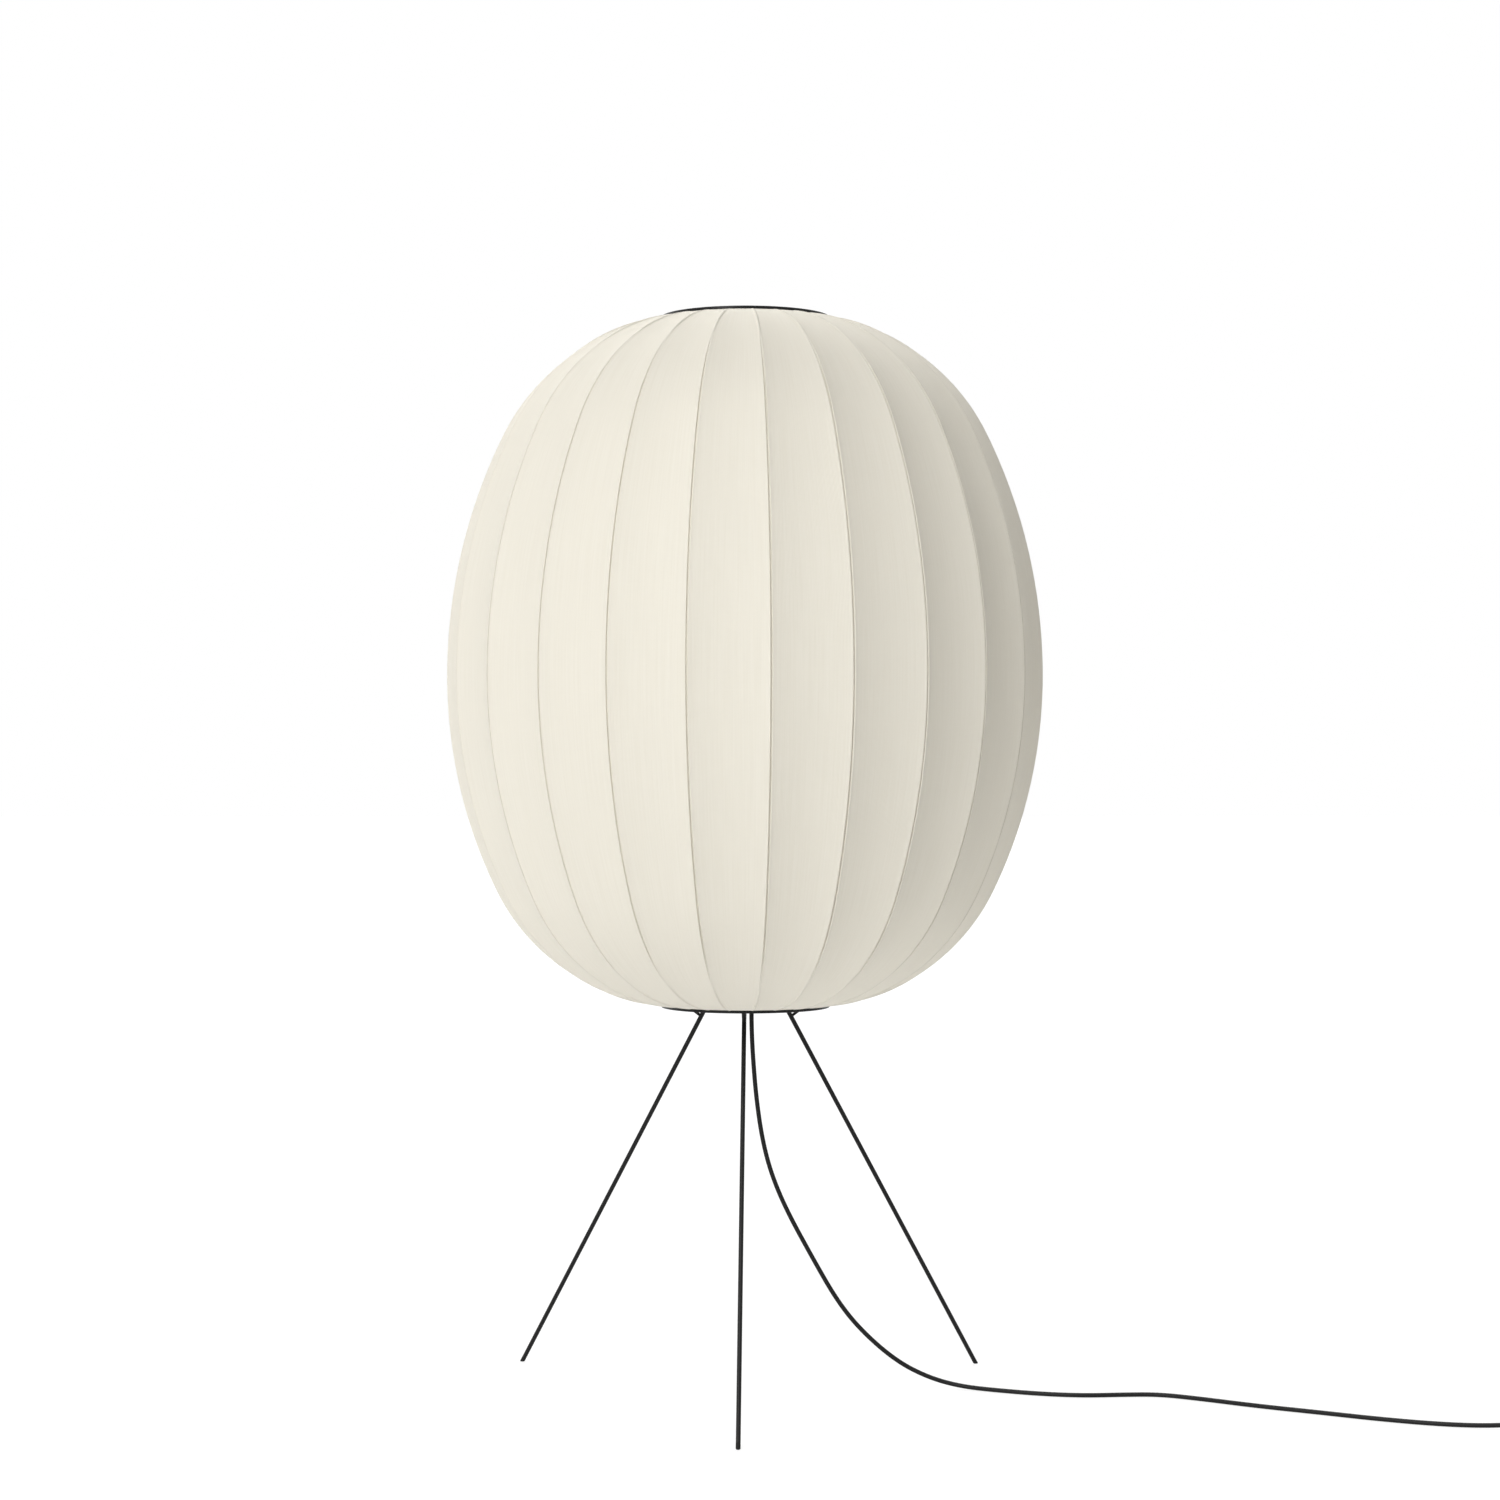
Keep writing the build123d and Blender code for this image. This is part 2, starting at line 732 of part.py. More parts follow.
bulb_foot = shell_foot + contact_rise + bulb_seat_gap
bulb_contact_top = bulb_foot + bulb_contact_height
bulb_cap_foot = bulb_contact_top + bulb_insulator_height
bulb_cap_top = bulb_cap_foot + bulb_cap_height
collar_top = bulb_cap_top + bulb_collar_height
cap_radius = bulb_cap_diameter / 2
cap_inner_radius = cap_radius - bulb_cap_wall
contact_radius = bulb_contact_diameter / 2
collar_radius = bulb_collar_diameter / 2
save(
    turned(
        ((bulb_foot, contact_radius), (bulb_contact_top, contact_radius), (bulb_cap_foot, cap_radius)),
    ),
    "bulb_base",
)
with BuildPart() as bulb_cap:
    with BuildSketch(Plane.XY.offset(bulb_cap_foot)):
        Circle(cap_radius)
        RegularPolygon(cap_inner_radius, turned_sides, mode=Mode.SUBTRACT)
    extrude(amount=bulb_cap_height)
save(bulb_cap, "bulb_cap")
save(turned(((bulb_cap_top, cap_radius), (collar_top, collar_radius))), "bulb_collar")

globe_radius = bulb_globe_diameter / 2
globe_centre = collar_top + sqrt(globe_radius**2 - collar_radius**2)


def globe_bands(radius):
    """Heights and radii of the globe from its seat on the collar to near its top."""
    seat = asin((collar_top - globe_centre) / globe_radius)
    crown = radians(90 - 90 / bulb_globe_bands)
    angles = [seat + (crown - seat) * n / bulb_globe_bands for n in range(bulb_globe_bands + 1)]
    return [(globe_centre + radius * sin(angle), radius * cos(angle)) for angle in angles]


globe_hollow = globe_bands(globe_radius - bulb_globe_wall)
globe_neck_radius = globe_hollow[0][1]
save(turned(globe_bands(globe_radius), [(collar_top, globe_neck_radius)] + globe_hollow), "bulb_globe")

# Cord: a plain round lead drawn with flats, in runs joined by arcs

cord_section_area = cord_sides / 2 * cord_radius**2 * sin(radians(360 / cord_sides))


def bend_radii(points):
    """The radius of the arc at each inner point of a route, from its shorter run and its turn."""
    radii = []
    for before, here, after in zip(points, points[1:], points[2:]):
        back = Vector(*here) - Vector(*before)
        ahead = Vector(*after) - Vector(*here)
        half_turn = radians(back.get_angle(ahead)) / 2
        radii.append(bend_share * min(back.length, ahead.length) / tan(half_turn))
    return radii


def report_cord(name, builder, length):
    """Print a cord's length and how its volume compares with its section times its length."""
    share = builder.part.volume / (cord_section_area * length)
    print(f"{name}: length {length:.0f} mm, volume share {share:.3f}")


def sweep_cord(name, points, tail=None):
    """Sweep the cord along a route of points, and along a further wire where one is given."""
    radii = bend_radii(points)
    print(f"{name}: bend radii {[round(radius) for radius in radii]}")
    with BuildPart() as piece:
        with BuildLine() as route:
            FilletPolyline(*points, radius=radii)
            if tail:
                add(tail)
        with BuildSketch(Plane(route.line @ 0, z_dir=route.line % 0)):
            RegularPolygon(cord_radius, cord_sides)
        sweep()
    report_cord(name, piece, sum(edge.length for edge in route.edges()))
    save(piece, name)


inner_points = (
    (*cord_exit, base_height),
    (*cord_exit, base_height + 22),
    (0, 0, grip_foot - grip_entry),
    (0, 0, cap_top),
)
sweep_cord("cord_inner", inner_points)

switch_x, switch_y = switch_centre
relief_reach = switch_length / 2 + relief_length
switch_entry = (switch_x - relief_reach, switch_y, switch_axis_height)
switch_leave = (switch_x + relief_reach, switch_y, switch_axis_height)
sweep_cord("cord_lead", lead_points + (switch_entry,))

# Foot switch: base with both strain reliefs, cover, and a round rocker button

relief_root_radius = relief_root_diameter / 2
relief_tip_radius = relief_tip_diameter / 2
switch_inner = (
    switch_length - 2 * switch_wall,
    switch_width - 2 * switch_wall,
    switch_corner - switch_wall,
)


def add_relief(end, outwards, axis_height, length):
    """A round strain relief along X or Y, from its root at a housing to its tip at the cord."""
    plane = Plane((*end, axis_height), z_dir=(*outwards, 0))
    with BuildPart() as relief:
        with BuildSketch(plane):
            RegularPolygon(relief_root_radius, turned_sides)
        with BuildSketch(plane.offset(length)):
            RegularPolygon(relief_tip_radius, turned_sides)
        loft(ruled=True)
    return relief.part


with BuildPart() as switch_base:
    with BuildSketch(Plane.XY):
        with Locations(switch_centre):
            RectangleRounded(switch_length, switch_width, switch_corner)
    extrude(amount=switch_split)
    with BuildSketch(Plane.XY.offset(switch_wall)):
        with Locations(switch_centre):
            RectangleRounded(*switch_inner)
    extrude(amount=switch_split, mode=Mode.SUBTRACT)
    for way in (-1, 1):
        relief_root = (switch_x + way * switch_length / 2, switch_y)
        add(add_relief(relief_root, (way, 0), switch_axis_height, relief_length))
save(switch_base, "switch_base")

button_radius = button_diameter / 2
with BuildPart() as switch_cover:
    with BuildSketch(Plane.XY.offset(switch_split)):
        with Locations(switch_centre):
            RectangleRounded(switch_length, switch_width, switch_corner)
    extrude(amount=switch_height - switch_split)
    chamfer(switch_cover.faces().sort_by(Axis.Z)[-1].edges(), switch_wall)
    with BuildSketch(Plane.XY.offset(switch_split)):
        with Locations(switch_centre):
            RectangleRounded(*switch_inner)
    extrude(amount=switch_height - switch_split - 2 * switch_wall, mode=Mode.SUBTRACT)
    with BuildSketch(Plane.XY.offset(switch_split)):
        with Locations(switch_centre):
            RegularPolygon(button_radius + button_play, turned_sides)
    extrude(amount=switch_height, mode=Mode.SUBTRACT)
save(switch_cover, "switch_cover")

flange_top = switch_height - 2 * switch_wall - button_play
flange_foot = flange_top - button_flange_height
button_top = switch_height + button_rise
save(
    turned(
        (
            (flange_foot, button_radius + button_flange),
            (flange_top, button_radius + button_flange),
            (flange_top, button_radius),
            (button_top, button_radius),
        ),
        centre=switch_centre,
    ),
    "switch_button",
)

# Coil: half turns on alternating centres, spiralling in on the floor, up a layer and out again


def coil_half_turns():
    """Start x, end x, start height and end height of each half turn, from the coil's start to its end."""
    x = coil_start[0]
    low = cord_radius
    high = cord_radius + coil_layer_step
    narrowing = coil_pitch / 2
    radii = [coil_radius - narrowing * n for n in range(coil_half_turns_in + 1)]
    radii += [radii[-1] + narrowing * (n + 1) for n in range(coil_half_turns_out)]
    turns = []
    for number, radius in enumerate(radii):
        way = -1 if number % 2 == 0 else 1
        start_z = low if number <= coil_half_turns_in else high
        end_z = low if number < coil_half_turns_in else high
        turns.append((x, x + way * 2 * radius, start_z, end_z))
        x += way * 2 * radius
    return turns


def coil_wire():
    """The coil's centre line with its straight end run; a half turn is one arc, or two where it climbs."""
    y = coil_start[1]
    with BuildLine() as wire:
        for start_x, end_x, start_z, end_z in coil_half_turns():
            way = 1 if end_x < start_x else -1
            radius = abs(end_x - start_x) / 2
            middle_x = (start_x + end_x) / 2
            rise = end_z - start_z
            reach = sqrt(radius**2 + (rise / 2) ** 2)
            middle = (middle_x, y + way * reach, (start_z + end_z) / 2)
            if rise:
                TangentArc((start_x, y, start_z), middle, tangent=(0, way, 0))
                TangentArc((end_x, y, end_z), middle, tangent=(0, way, 0))
            else:
                ThreePointArc((start_x, y, start_z), middle, (end_x, y, end_z))
        Line((end_x, y, end_z), (end_x, y + coil_end_run, end_z))
    return wire.line


def least_gap(points):
    """The least gap of a cord to itself, between sampled points that are not neighbours along it."""
    away = round(4 * cord_diameter / gap_sample_step)
    return min(
        dist(one, other) for number, one in enumerate(points) for other in points[number + away :]
    ) - cord_diameter


link_points = (
    switch_leave,
    (961.0, -183.0, 6.0),
    (976.0, -175.5, 4.5),
    (990.0, -158.0, 2.5),
    (993.0, -140.0, 2.5),
    (*coil_start, cord_radius),
)
coil_line = coil_wire()
sweep_cord("cord_coil", link_points, coil_line)
coil_route = Wire(coil_line.edges())
sample_count = round(coil_route.length / gap_sample_step)
samples = [
    tuple(coil_route.position_at(coil_route.length * n / sample_count, position_mode=PositionMode.LENGTH))
    for n in range(sample_count + 1)
]
print(f"coil: length {coil_route.length:.0f} mm, least gap to itself {least_gap(samples):.2f} mm")

# Plug: a flat two-pin body with its strain relief, and pins with insulating sleeves at their roots

plug_axis = cord_radius + coil_layer_step
plug_x = coil_half_turns()[-1][1]
plug_relief_tip = coil_start[1] + coil_end_run
plug_foot = plug_relief_tip + relief_length
plug_nose = plug_foot + plug_length
pin_sleeve_end = plug_nose + pin_sleeve_length

with BuildPart() as plug_body:
    with BuildSketch(Plane.XY):
        Polygon(
            (plug_x - plug_tip_width / 2, plug_foot),
            (plug_x + plug_tip_width / 2, plug_foot),
            (plug_x + plug_width / 2, plug_foot + plug_length / 2),
            (plug_x + plug_width / 2, plug_nose),
            (plug_x - plug_width / 2, plug_nose),
            (plug_x - plug_width / 2, plug_foot + plug_length / 2),
            align=None,
        )
    extrude(amount=2 * plug_axis)
    chamfer(plug_body.edges().filter_by(Axis.Z, reverse=True), plug_edge)
    with BuildSketch(Plane((plug_x, plug_nose, plug_axis), x_dir=(1, 0, 0), z_dir=(0, -1, 0))):
        with GridLocations(pin_spacing, 1, 2, 1):
            RegularPolygon((pin_sleeve_diameter + relief_play) / 2, turned_sides)
    extrude(amount=pin_seat, mode=Mode.SUBTRACT)
    add(add_relief((plug_x, plug_foot), (0, -1), plug_axis, relief_length))
save(plug_body, "plug_body")

with BuildPart() as plug_pins:
    with BuildSketch(Plane((plug_x, plug_nose - pin_seat, plug_axis), x_dir=(1, 0, 0), z_dir=(0, 1, 0))):
        with GridLocations(pin_spacing, 1, 2, 1):
            RegularPolygon(pin_sleeve_diameter / 2, turned_sides)
    extrude(amount=pin_seat + pin_sleeve_length)
    with BuildSketch(Plane((plug_x, pin_sleeve_end, plug_axis), x_dir=(1, 0, 0), z_dir=(0, 1, 0))):
        with GridLocations(pin_spacing, 1, 2, 1):
            Circle(pin_diameter / 2)
    extrude(amount=pin_length - pin_sleeve_length)
    chamfer(plug_pins.faces().sort_by(Axis.Y)[-2:].edges(), pin_diameter / 8)
save(plug_pins, "plug_pins")
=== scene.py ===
"""Knitted floor lamp: visible pieces, finishes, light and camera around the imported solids."""

import json
import math

import bmesh
import bpy
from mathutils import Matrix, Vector


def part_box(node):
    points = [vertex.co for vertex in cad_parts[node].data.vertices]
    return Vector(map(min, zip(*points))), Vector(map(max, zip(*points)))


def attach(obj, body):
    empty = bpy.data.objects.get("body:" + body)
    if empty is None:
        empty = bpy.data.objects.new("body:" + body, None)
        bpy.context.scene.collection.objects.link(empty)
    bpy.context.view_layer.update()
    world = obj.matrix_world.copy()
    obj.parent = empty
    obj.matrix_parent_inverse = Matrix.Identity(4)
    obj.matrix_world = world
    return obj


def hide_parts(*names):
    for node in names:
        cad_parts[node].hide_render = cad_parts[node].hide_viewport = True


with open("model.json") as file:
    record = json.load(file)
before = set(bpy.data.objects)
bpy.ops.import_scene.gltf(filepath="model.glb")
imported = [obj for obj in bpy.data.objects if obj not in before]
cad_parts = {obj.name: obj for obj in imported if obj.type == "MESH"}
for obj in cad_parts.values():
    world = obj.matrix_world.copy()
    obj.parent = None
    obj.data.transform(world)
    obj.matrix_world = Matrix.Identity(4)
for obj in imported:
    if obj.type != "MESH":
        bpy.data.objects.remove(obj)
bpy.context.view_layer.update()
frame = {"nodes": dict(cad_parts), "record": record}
nodes = frame["nodes"]
record = frame["record"]
scene = bpy.context.scene
BODY_OF = {node: body for body, names in record["behaviour"]["bodies"].items() for node in names}
SLOT_OF = {part["node"]: part["material_slot"] for part in record["subparts"]}


# Camera: level, a little right of the front leg, as fitted to the photograph

CAMERA_DISTANCE = 3.4395
CAMERA_HEIGHT = 0.6966
CAMERA_TURN = math.radians(1.4)

camera_data = bpy.data.cameras.new("camera")
camera_data.lens = 75.47
camera_data.sensor_width = 36.0
camera_data.shift_x = 0.00305
camera_data.shift_y = 0.0013
camera = bpy.data.objects.new("camera", camera_data)
camera.location = (
    CAMERA_DISTANCE * math.sin(CAMERA_TURN),
    -CAMERA_DISTANCE * math.cos(CAMERA_TURN),
    CAMERA_HEIGHT,
)
camera.rotation_euler = (math.radians(90), 0, CAMERA_TURN)
scene.collection.objects.link(camera)
scene.camera = camera


# Helpers for meshes, curves and materials

def link(obj, replaces, body="lamp"):
    """Put a piece in the scene on its body and the solids it stands for."""
    scene.collection.objects.link(obj)
    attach(obj, body)
    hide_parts(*replaces)
    return obj


def mesh_piece(name, vertices, faces, material):
    """A new smooth-shaded mesh object from vertices and faces."""
    mesh = bpy.data.meshes.new(name)
    mesh.from_pydata([tuple(v) for v in vertices], [], faces)
    mesh.update()
    mesh.materials.append(material)
    mesh.polygons.foreach_set("use_smooth", [True] * len(mesh.polygons))
    return bpy.data.objects.new(name, mesh)


def new_material(name):
    """A fresh node material with its principled shader."""
    material = bpy.data.materials.new(name)
    material.use_nodes = True
    return material, material.node_tree, material.node_tree.nodes["Principled BSDF"]


def noise_bump(tree, shader, scale, strength, distance):
    """Fine bump from object-space noise."""
    place = tree.nodes.new("ShaderNodeTexCoord")
    noise = tree.nodes.new("ShaderNodeTexNoise")
    noise.inputs["Scale"].default_value = scale
    noise.inputs["Detail"].default_value = 3.0
    bump = tree.nodes.new("ShaderNodeBump")
    bump.inputs["Strength"].default_value = strength
    bump.inputs["Distance"].default_value = distance
    tree.links.new(place.outputs["Object"], noise.inputs["Vector"])
    tree.links.new(noise.outputs["Fac"], bump.inputs["Height"])
    tree.links.new(bump.outputs["Normal"], shader.inputs["Normal"])
    return noise


def two_tone(tree, socket, noise, low, high, start=0.35):
    """A soft mottle between two colours on a socket, driven by a noise node; returns the ramp."""
    ramp = tree.nodes.new("ShaderNodeValToRGB")
    for element, position, colour in zip(ramp.color_ramp.elements, (start, 1 - start), (low, high)):
        element.position = position
        element.color = (*colour, 1)
    tree.links.new(noise.outputs["Fac"], ramp.inputs["Fac"])
    tree.links.new(ramp.outputs["Color"], socket)
    return ramp


def plain_material(name, low, high, roughness, specular=0.5, metallic=0.0, scale=900.0, bump=0.15):
    """A procedural finish: slight mottle in colour and a fine grain in the surface."""
    material, tree, shader = new_material(name)
    shader.inputs["Roughness"].default_value = roughness
    shader.inputs["Metallic"].default_value = metallic
    shader.inputs["Specular IOR Level"].default_value = specular
    noise = noise_bump(tree, shader, scale, bump, 0.0002)
    two_tone(tree, shader.inputs["Base Color"], noise, low, high)
    return material


def grey(low, high, warmth=1.0):
    """Two greys as colours, with the blue a little lower where warmth is under 1."""
    return (low, low, low * warmth), (high, high, high * warmth)


MATERIALS = {
    "black_metal": plain_material(
        "black_powder_coat", *grey(0.006, 0.011), 0.36, 0.16, scale=1400, bump=0.08
    ),
    "cord_black": plain_material("cord_sheath", *grey(0.006, 0.010), 0.5, 0.16, scale=700),
    "black_plastic": plain_material("moulded_black", *grey(0.010, 0.018), 0.45, 0.3, scale=1600),
    "black_rubber": plain_material("foot_rubber", *grey(0.007, 0.012), 0.75, 0.2),
    "zinc": plain_material("zinc_plate", *grey(0.42, 0.56, 0.97), 0.36, metallic=1.0, scale=500),
    "brass": plain_material(
        "brass", (0.60, 0.43, 0.18), (0.72, 0.54, 0.25), 0.30, metallic=1.0, scale=500
    ),
    "porcelain": plain_material("porcelain", *grey(0.72, 0.79, 0.95), 0.35, scale=300),
    "bulb_white": plain_material("bulb_opal", *grey(0.82, 0.87, 0.97), 0.28, scale=200, bump=0.02),
    "bulb_metal": plain_material(
        "bulb_cap_metal", *grey(0.55, 0.66, 0.98), 0.32, metallic=1.0, scale=500
    ),
    "rib_steel": plain_material(
        "rib_lacquer", (0.66, 0.64, 0.57), (0.74, 0.72, 0.65), 0.45, scale=700
    ),
}


# Rigid pieces: rounded copies of the solids, and new forms built from rings of points

FACET_ANGLE = 32.0


def round_edges(piece, width, segments=2):
    """Round every edge sharper than a facet of a turned piece, by so many millimetres."""
    bevel = piece.modifiers.new("round_edges", "BEVEL")
    bevel.width = width / 1000
    bevel.segments = segments
    bevel.limit_method = "ANGLE"
    bevel.angle_limit = math.radians(FACET_ANGLE)
    bevel.harden_normals = True
    return piece


def rounded_copy(node, width):
    """The solid of a node as a visible piece, smooth round its facets and with rounded edges."""
    shape = bmesh.new()
    shape.from_mesh(nodes[node].data)
    bmesh.ops.remove_doubles(shape, verts=shape.verts, dist=2e-6)
    flat = math.radians(0.5)
    bmesh.ops.dissolve_limit(shape, angle_limit=flat, verts=shape.verts, edges=shape.edges)
    shape.verts.index_update()
    vertices = [vertex.co.copy() for vertex in shape.verts]
    faces = [[vertex.index for vertex in face.verts] for face in shape.faces]
    shape.free()
    piece = mesh_piece(f"{node}_finished", vertices, faces, MATERIALS[SLOT_OF[node]])
    return link(round_edges(piece, width), [node], BODY_OF[node])


def around(centre, reach, angle, height):
    """The point at a reach and angle from an upright axis."""
    return (centre[0] + reach * math.cos(angle), centre[1] + reach * math.sin(angle), height)


def circle(radius, height, sides=48, wave=None, centre=(0, 0)):
    """A ring of points round an upright axis; wave adds to the radius by angle."""
    ring = []
    for n in range(sides):
        angle = 2 * math.pi * n / sides
        ring.append(around(centre, radius + (wave(angle) if wave else 0), angle, height))
    return ring


def turned(levels, base=0.0, sides=48, centre=(0, 0)):
    """Circles for pairs of radius and height above a base."""
    return [circle(radius, base + height, sides, centre=centre) for radius, height in levels]


def rounded_box_ring(width, depth, corner, height, centre=(0, 0)):
    """A ring of points round a rectangle with round corners."""
    per_corner = 12
    ring = []
    for quarter, (sx, sy) in enumerate(((1, 1), (-1, 1), (-1, -1), (1, -1))):
        middle = (centre[0] + sx * (width / 2 - corner), centre[1] + sy * (depth / 2 - corner))
        for n in range(per_corner):
            angle = math.pi / 2 * (quarter + (n + 0.5) / per_corner)
            ring.append(around(middle, corner, angle, height))
    return ring


def skin(name, rings, node, slot=None, closed=False, place=None, edge=0.0):
    """A piece skinned over rings of points, in millimetres; place is an origin, x and z way."""
    if place:
        origin, x_way, z_way = (Vector(v) for v in place)
        y_way = z_way.cross(x_way)
        rings = [
            [origin + x_way * x + y_way * y + z_way * z for x, y, z in ring] for ring in rings
        ]
    count = len(rings[0])
    vertices = [Vector(point) / 1000 for ring in rings for point in ring]
    faces = []
    for i in range(len(rings) if closed else len(rings) - 1):
        low, high = i * count, (i + 1) % len(rings) * count
        for j in range(count):
            k = (j + 1) % count
            faces.append((low + j, low + k, high + k, high + j))
    if not closed:
        faces.append(tuple(range(count))[::-1])
        faces.append(tuple((len(rings) - 1) * count + j for j in range(count)))
    slot = slot or SLOT_OF[node]
    piece = mesh_piece(name, vertices, faces, MATERIALS[slot])
    if edge:
        round_edges(piece, edge, 3)
    return link(piece, [node], BODY_OF[node])


def heights(node):
    """The lowest and highest height of a node, in millimetres."""
    low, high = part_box(node)
    return low.z * 1000, high.z * 1000


def thread(pitch, depth, height):
    """The radius wave of a screw thread at a height."""
    return lambda angle: -depth * (0.5 - 0.5 * math.cos(2 * math.pi * height / pitch - angle))


def flutes(count, depth):
    """The radius wave of upright grip flutes."""
    return lambda angle: -depth * (0.5 + 0.5 * math.cos(count * angle)) ** 2


# Cords: the route points of the source, as control points of smooth splines

CORD_DIAMETER = 0.005
CORD_EXIT = (6.4, 9.0)


def cord(name, node, points):
    """A round cord that stands for a node, on a smooth spline with these points, in millimetres."""
    curve = bpy.data.curves.new(name, "CURVE")
    curve.dimensions = "3D"
    curve.bevel_depth = CORD_DIAMETER / 2
    curve.bevel_resolution = 5
    curve.use_fill_caps = True
    curve.resolution_u = 12
    spline = curve.splines.new("NURBS")
    spline.points.add(len(points) - 1)
    for target, point in zip(spline.points, points):
        target.co = (*(c / 1000 for c in point), 1)
    spline.order_u = 3
    spline.use_endpoint_u = True
    curve.materials.append(MATERIALS["cord_black"])
    return link(bpy.data.objects.new(name, curve), [node])


LEAD = (
    (6.4, 9.0, 418.0),
    (6.4, 9.0, 396.0),
    (8.0, 8.9, 362.0),
    (11.8, 8.9, 316.0),
    (18.3, 8.9, 271.5),
    (28.3, 8.9, 233.5),
    (44.8, 8.6, 194.5),
    (71.6, 8.3, 145.3),
    (99.8, 8.2, 96.1),
    (126.2, 8.1, 63.3),
    (163.7, 8.0, 30.6),
    (198.7, 7.9, 12.4),
    (234.7, 7.1, 2.5),
    (277.5, -15.2, 2.5),
    (322.9, -32.1, 2.5),
    (367.1, -39.0, 2.5),
    (410.9, -33.0, 2.5),
    (448.9, -31.0, 2.5),
    (491.5, -54.0, 2.5),
    (547.4, -89.7, 2.5),
    (607.1, -120.2, 2.5),
    (658.8, -148.9, 2.5),
    (714.4, -172.6, 2.5),
    (760.0, -181.5, 2.5),
    (794.0, -183.4, 4.0),
    (819.0, -183.0, 6.0),
    (833.0, -183.0, 6.0),
)
cord_lead = cord("cord_lead_visible", "cord_lead", LEAD)


# Foot switch: a shell in two halves with a round button and two slotted strain reliefs

SWITCH = (890.0, -183.0)
SWITCH_LENGTH, SWITCH_WIDTH, SWITCH_CORNER = 70.0, 40.0, 9.0
CORD_HEIGHT = 6.0
SWITCH_PARTING = 10.0
SWITCH_TOP = 24.0
RELIEF_LENGTH = 22.0
RELIEF_SIDES = 32
RELIEF_SLOTS = 5
BUTTON_GROOVES = 4


def switch_rings(levels):
    """Level rings of the switch's housing, for pairs of inset and height."""
    rings = []
    for inset, height in levels:
        width, depth = SWITCH_LENGTH - 2 * inset, SWITCH_WIDTH - 2 * inset
        corner = max(SWITCH_CORNER - inset * 0.6, 5)
        rings.append(rounded_box_ring(width, depth, corner, height, SWITCH))
    return rings


def relief_rings():
    """A tapered strain relief with ring slots, from its root upwards."""
    levels = [(4.6, -0.6), (4.6, 0.5), (4.1, 1.2)]
    for n in range(RELIEF_SLOTS):
        for at, cut in ((0.0, 0.0), (0.25, 0.75), (1.25, 0.75), (1.5, 0.0)):
            height = 2.6 + 3.7 * n + at
            levels.append((4.0 - 0.8 * height / RELIEF_LENGTH - cut, height))
    levels += [(3.25, RELIEF_LENGTH - 0.8), (3.0, RELIEF_LENGTH - 0.2), (2.5, RELIEF_LENGTH)]
    return turned(levels, sides=RELIEF_SIDES)


def relief(name, node, origin, way):
    """A strain relief of a node, from its root at an origin in a level direction."""
    across = (0, 0, way[0]) if way[0] else (1, 0, 0)
    return skin(name, relief_rings(), node, place=(origin, across, way))


base_levels = [(1.6, 0.0), (0.5, 0.4), (0.1, 1.2), (0.0, 2.2), (0.0, SWITCH_PARTING - 0.6)]
base_levels += [(0.5, SWITCH_PARTING - 0.1), (2.0, SWITCH_PARTING - 0.1), (2.0, 2.0)]
switch_base = skin("switch_base_shell", switch_rings(base_levels), "switch_base")
for name, way in (("in", -1), ("out", 1)):
    root = (SWITCH[0] + way * SWITCH_LENGTH / 2, SWITCH[1], CORD_HEIGHT)
    relief(f"switch_relief_{name}", "switch_base", root, (way, 0, 0))

cover_levels = [(2.0, SWITCH_PARTING + 0.1), (0.5, SWITCH_PARTING + 0.1)]
cover_levels += [(0.0, SWITCH_PARTING + 0.6), (0.0, 17.0), (0.2, 19.6), (0.7, 21.6), (1.5, 22.9)]
cover_levels += [(2.7, 23.7), (4.2, SWITCH_TOP)]
rim_levels = [(15.2, 0.0), (14.6, 0.3), (13.9, 0.3), (13.2, -0.1), (12.0, -0.6), (11.5, -1.1)]
rim_levels += [(11.4, -4.2)]
switch_cover = skin(
    "switch_cover_shell",
    switch_rings(cover_levels)
    + turned(rim_levels, SWITCH_TOP, centre=SWITCH)
    + switch_rings([(3.2, SWITCH_TOP - 4.2), (2.0, SWITCH_TOP - 6.0)]),
    "switch_cover",
    closed=True,
)

button_low, button_high = heights("switch_button")
button_rings = turned([(12.4, 0.0), (12.4, 1.5), (11.0, 1.5)], button_low, centre=SWITCH)
button_levels = [(11.0, -1.6), (10.7, -0.7), (9.9, 0.0)]
for n in range(BUTTON_GROOVES):
    radius = 9.2 - 1.7 * n
    groove = ((0.0, 0.0), (0.25, -0.4), (0.55, -0.4), (0.8, 0.0))
    button_levels += [(radius - inset, height) for inset, height in groove]
button_rings += turned(button_levels, button_high, centre=SWITCH)
switch_button = skin("switch_button_cap", button_rings, "switch_button")

COIL_START = (993.0, -122.0)
COIL_RADIUS = 31.0
COIL_NARROWING = 2.8
COIL_LOW, COIL_HIGH = 2.5, 8.0
COIL_STEPS = 8


def coil_points():
    """Control points of the coil: half turns on alternating centres, in, up a layer and out."""
    points = []
    x, y = COIL_START
    radii = [COIL_RADIUS - COIL_NARROWING * n for n in range(3)]
    radii += [radii[-1] + COIL_NARROWING]
    swell = 1 / math.cos(math.pi / COIL_STEPS / 2)
    for number, radius in enumerate(radii):
        way = 1 if number % 2 == 0 else -1
        centre = x - way * radius
        for n in range(COIL_STEPS):
            share = (n + 0.5) / COIL_STEPS
            climb = min(1.0, max(0.0, number - 2 + share))
            height = COIL_LOW + (COIL_HIGH - COIL_LOW) * climb
            points.append(around((centre, y), way * radius * swell, math.pi * share, height))
        x = centre - way * radius
    return points


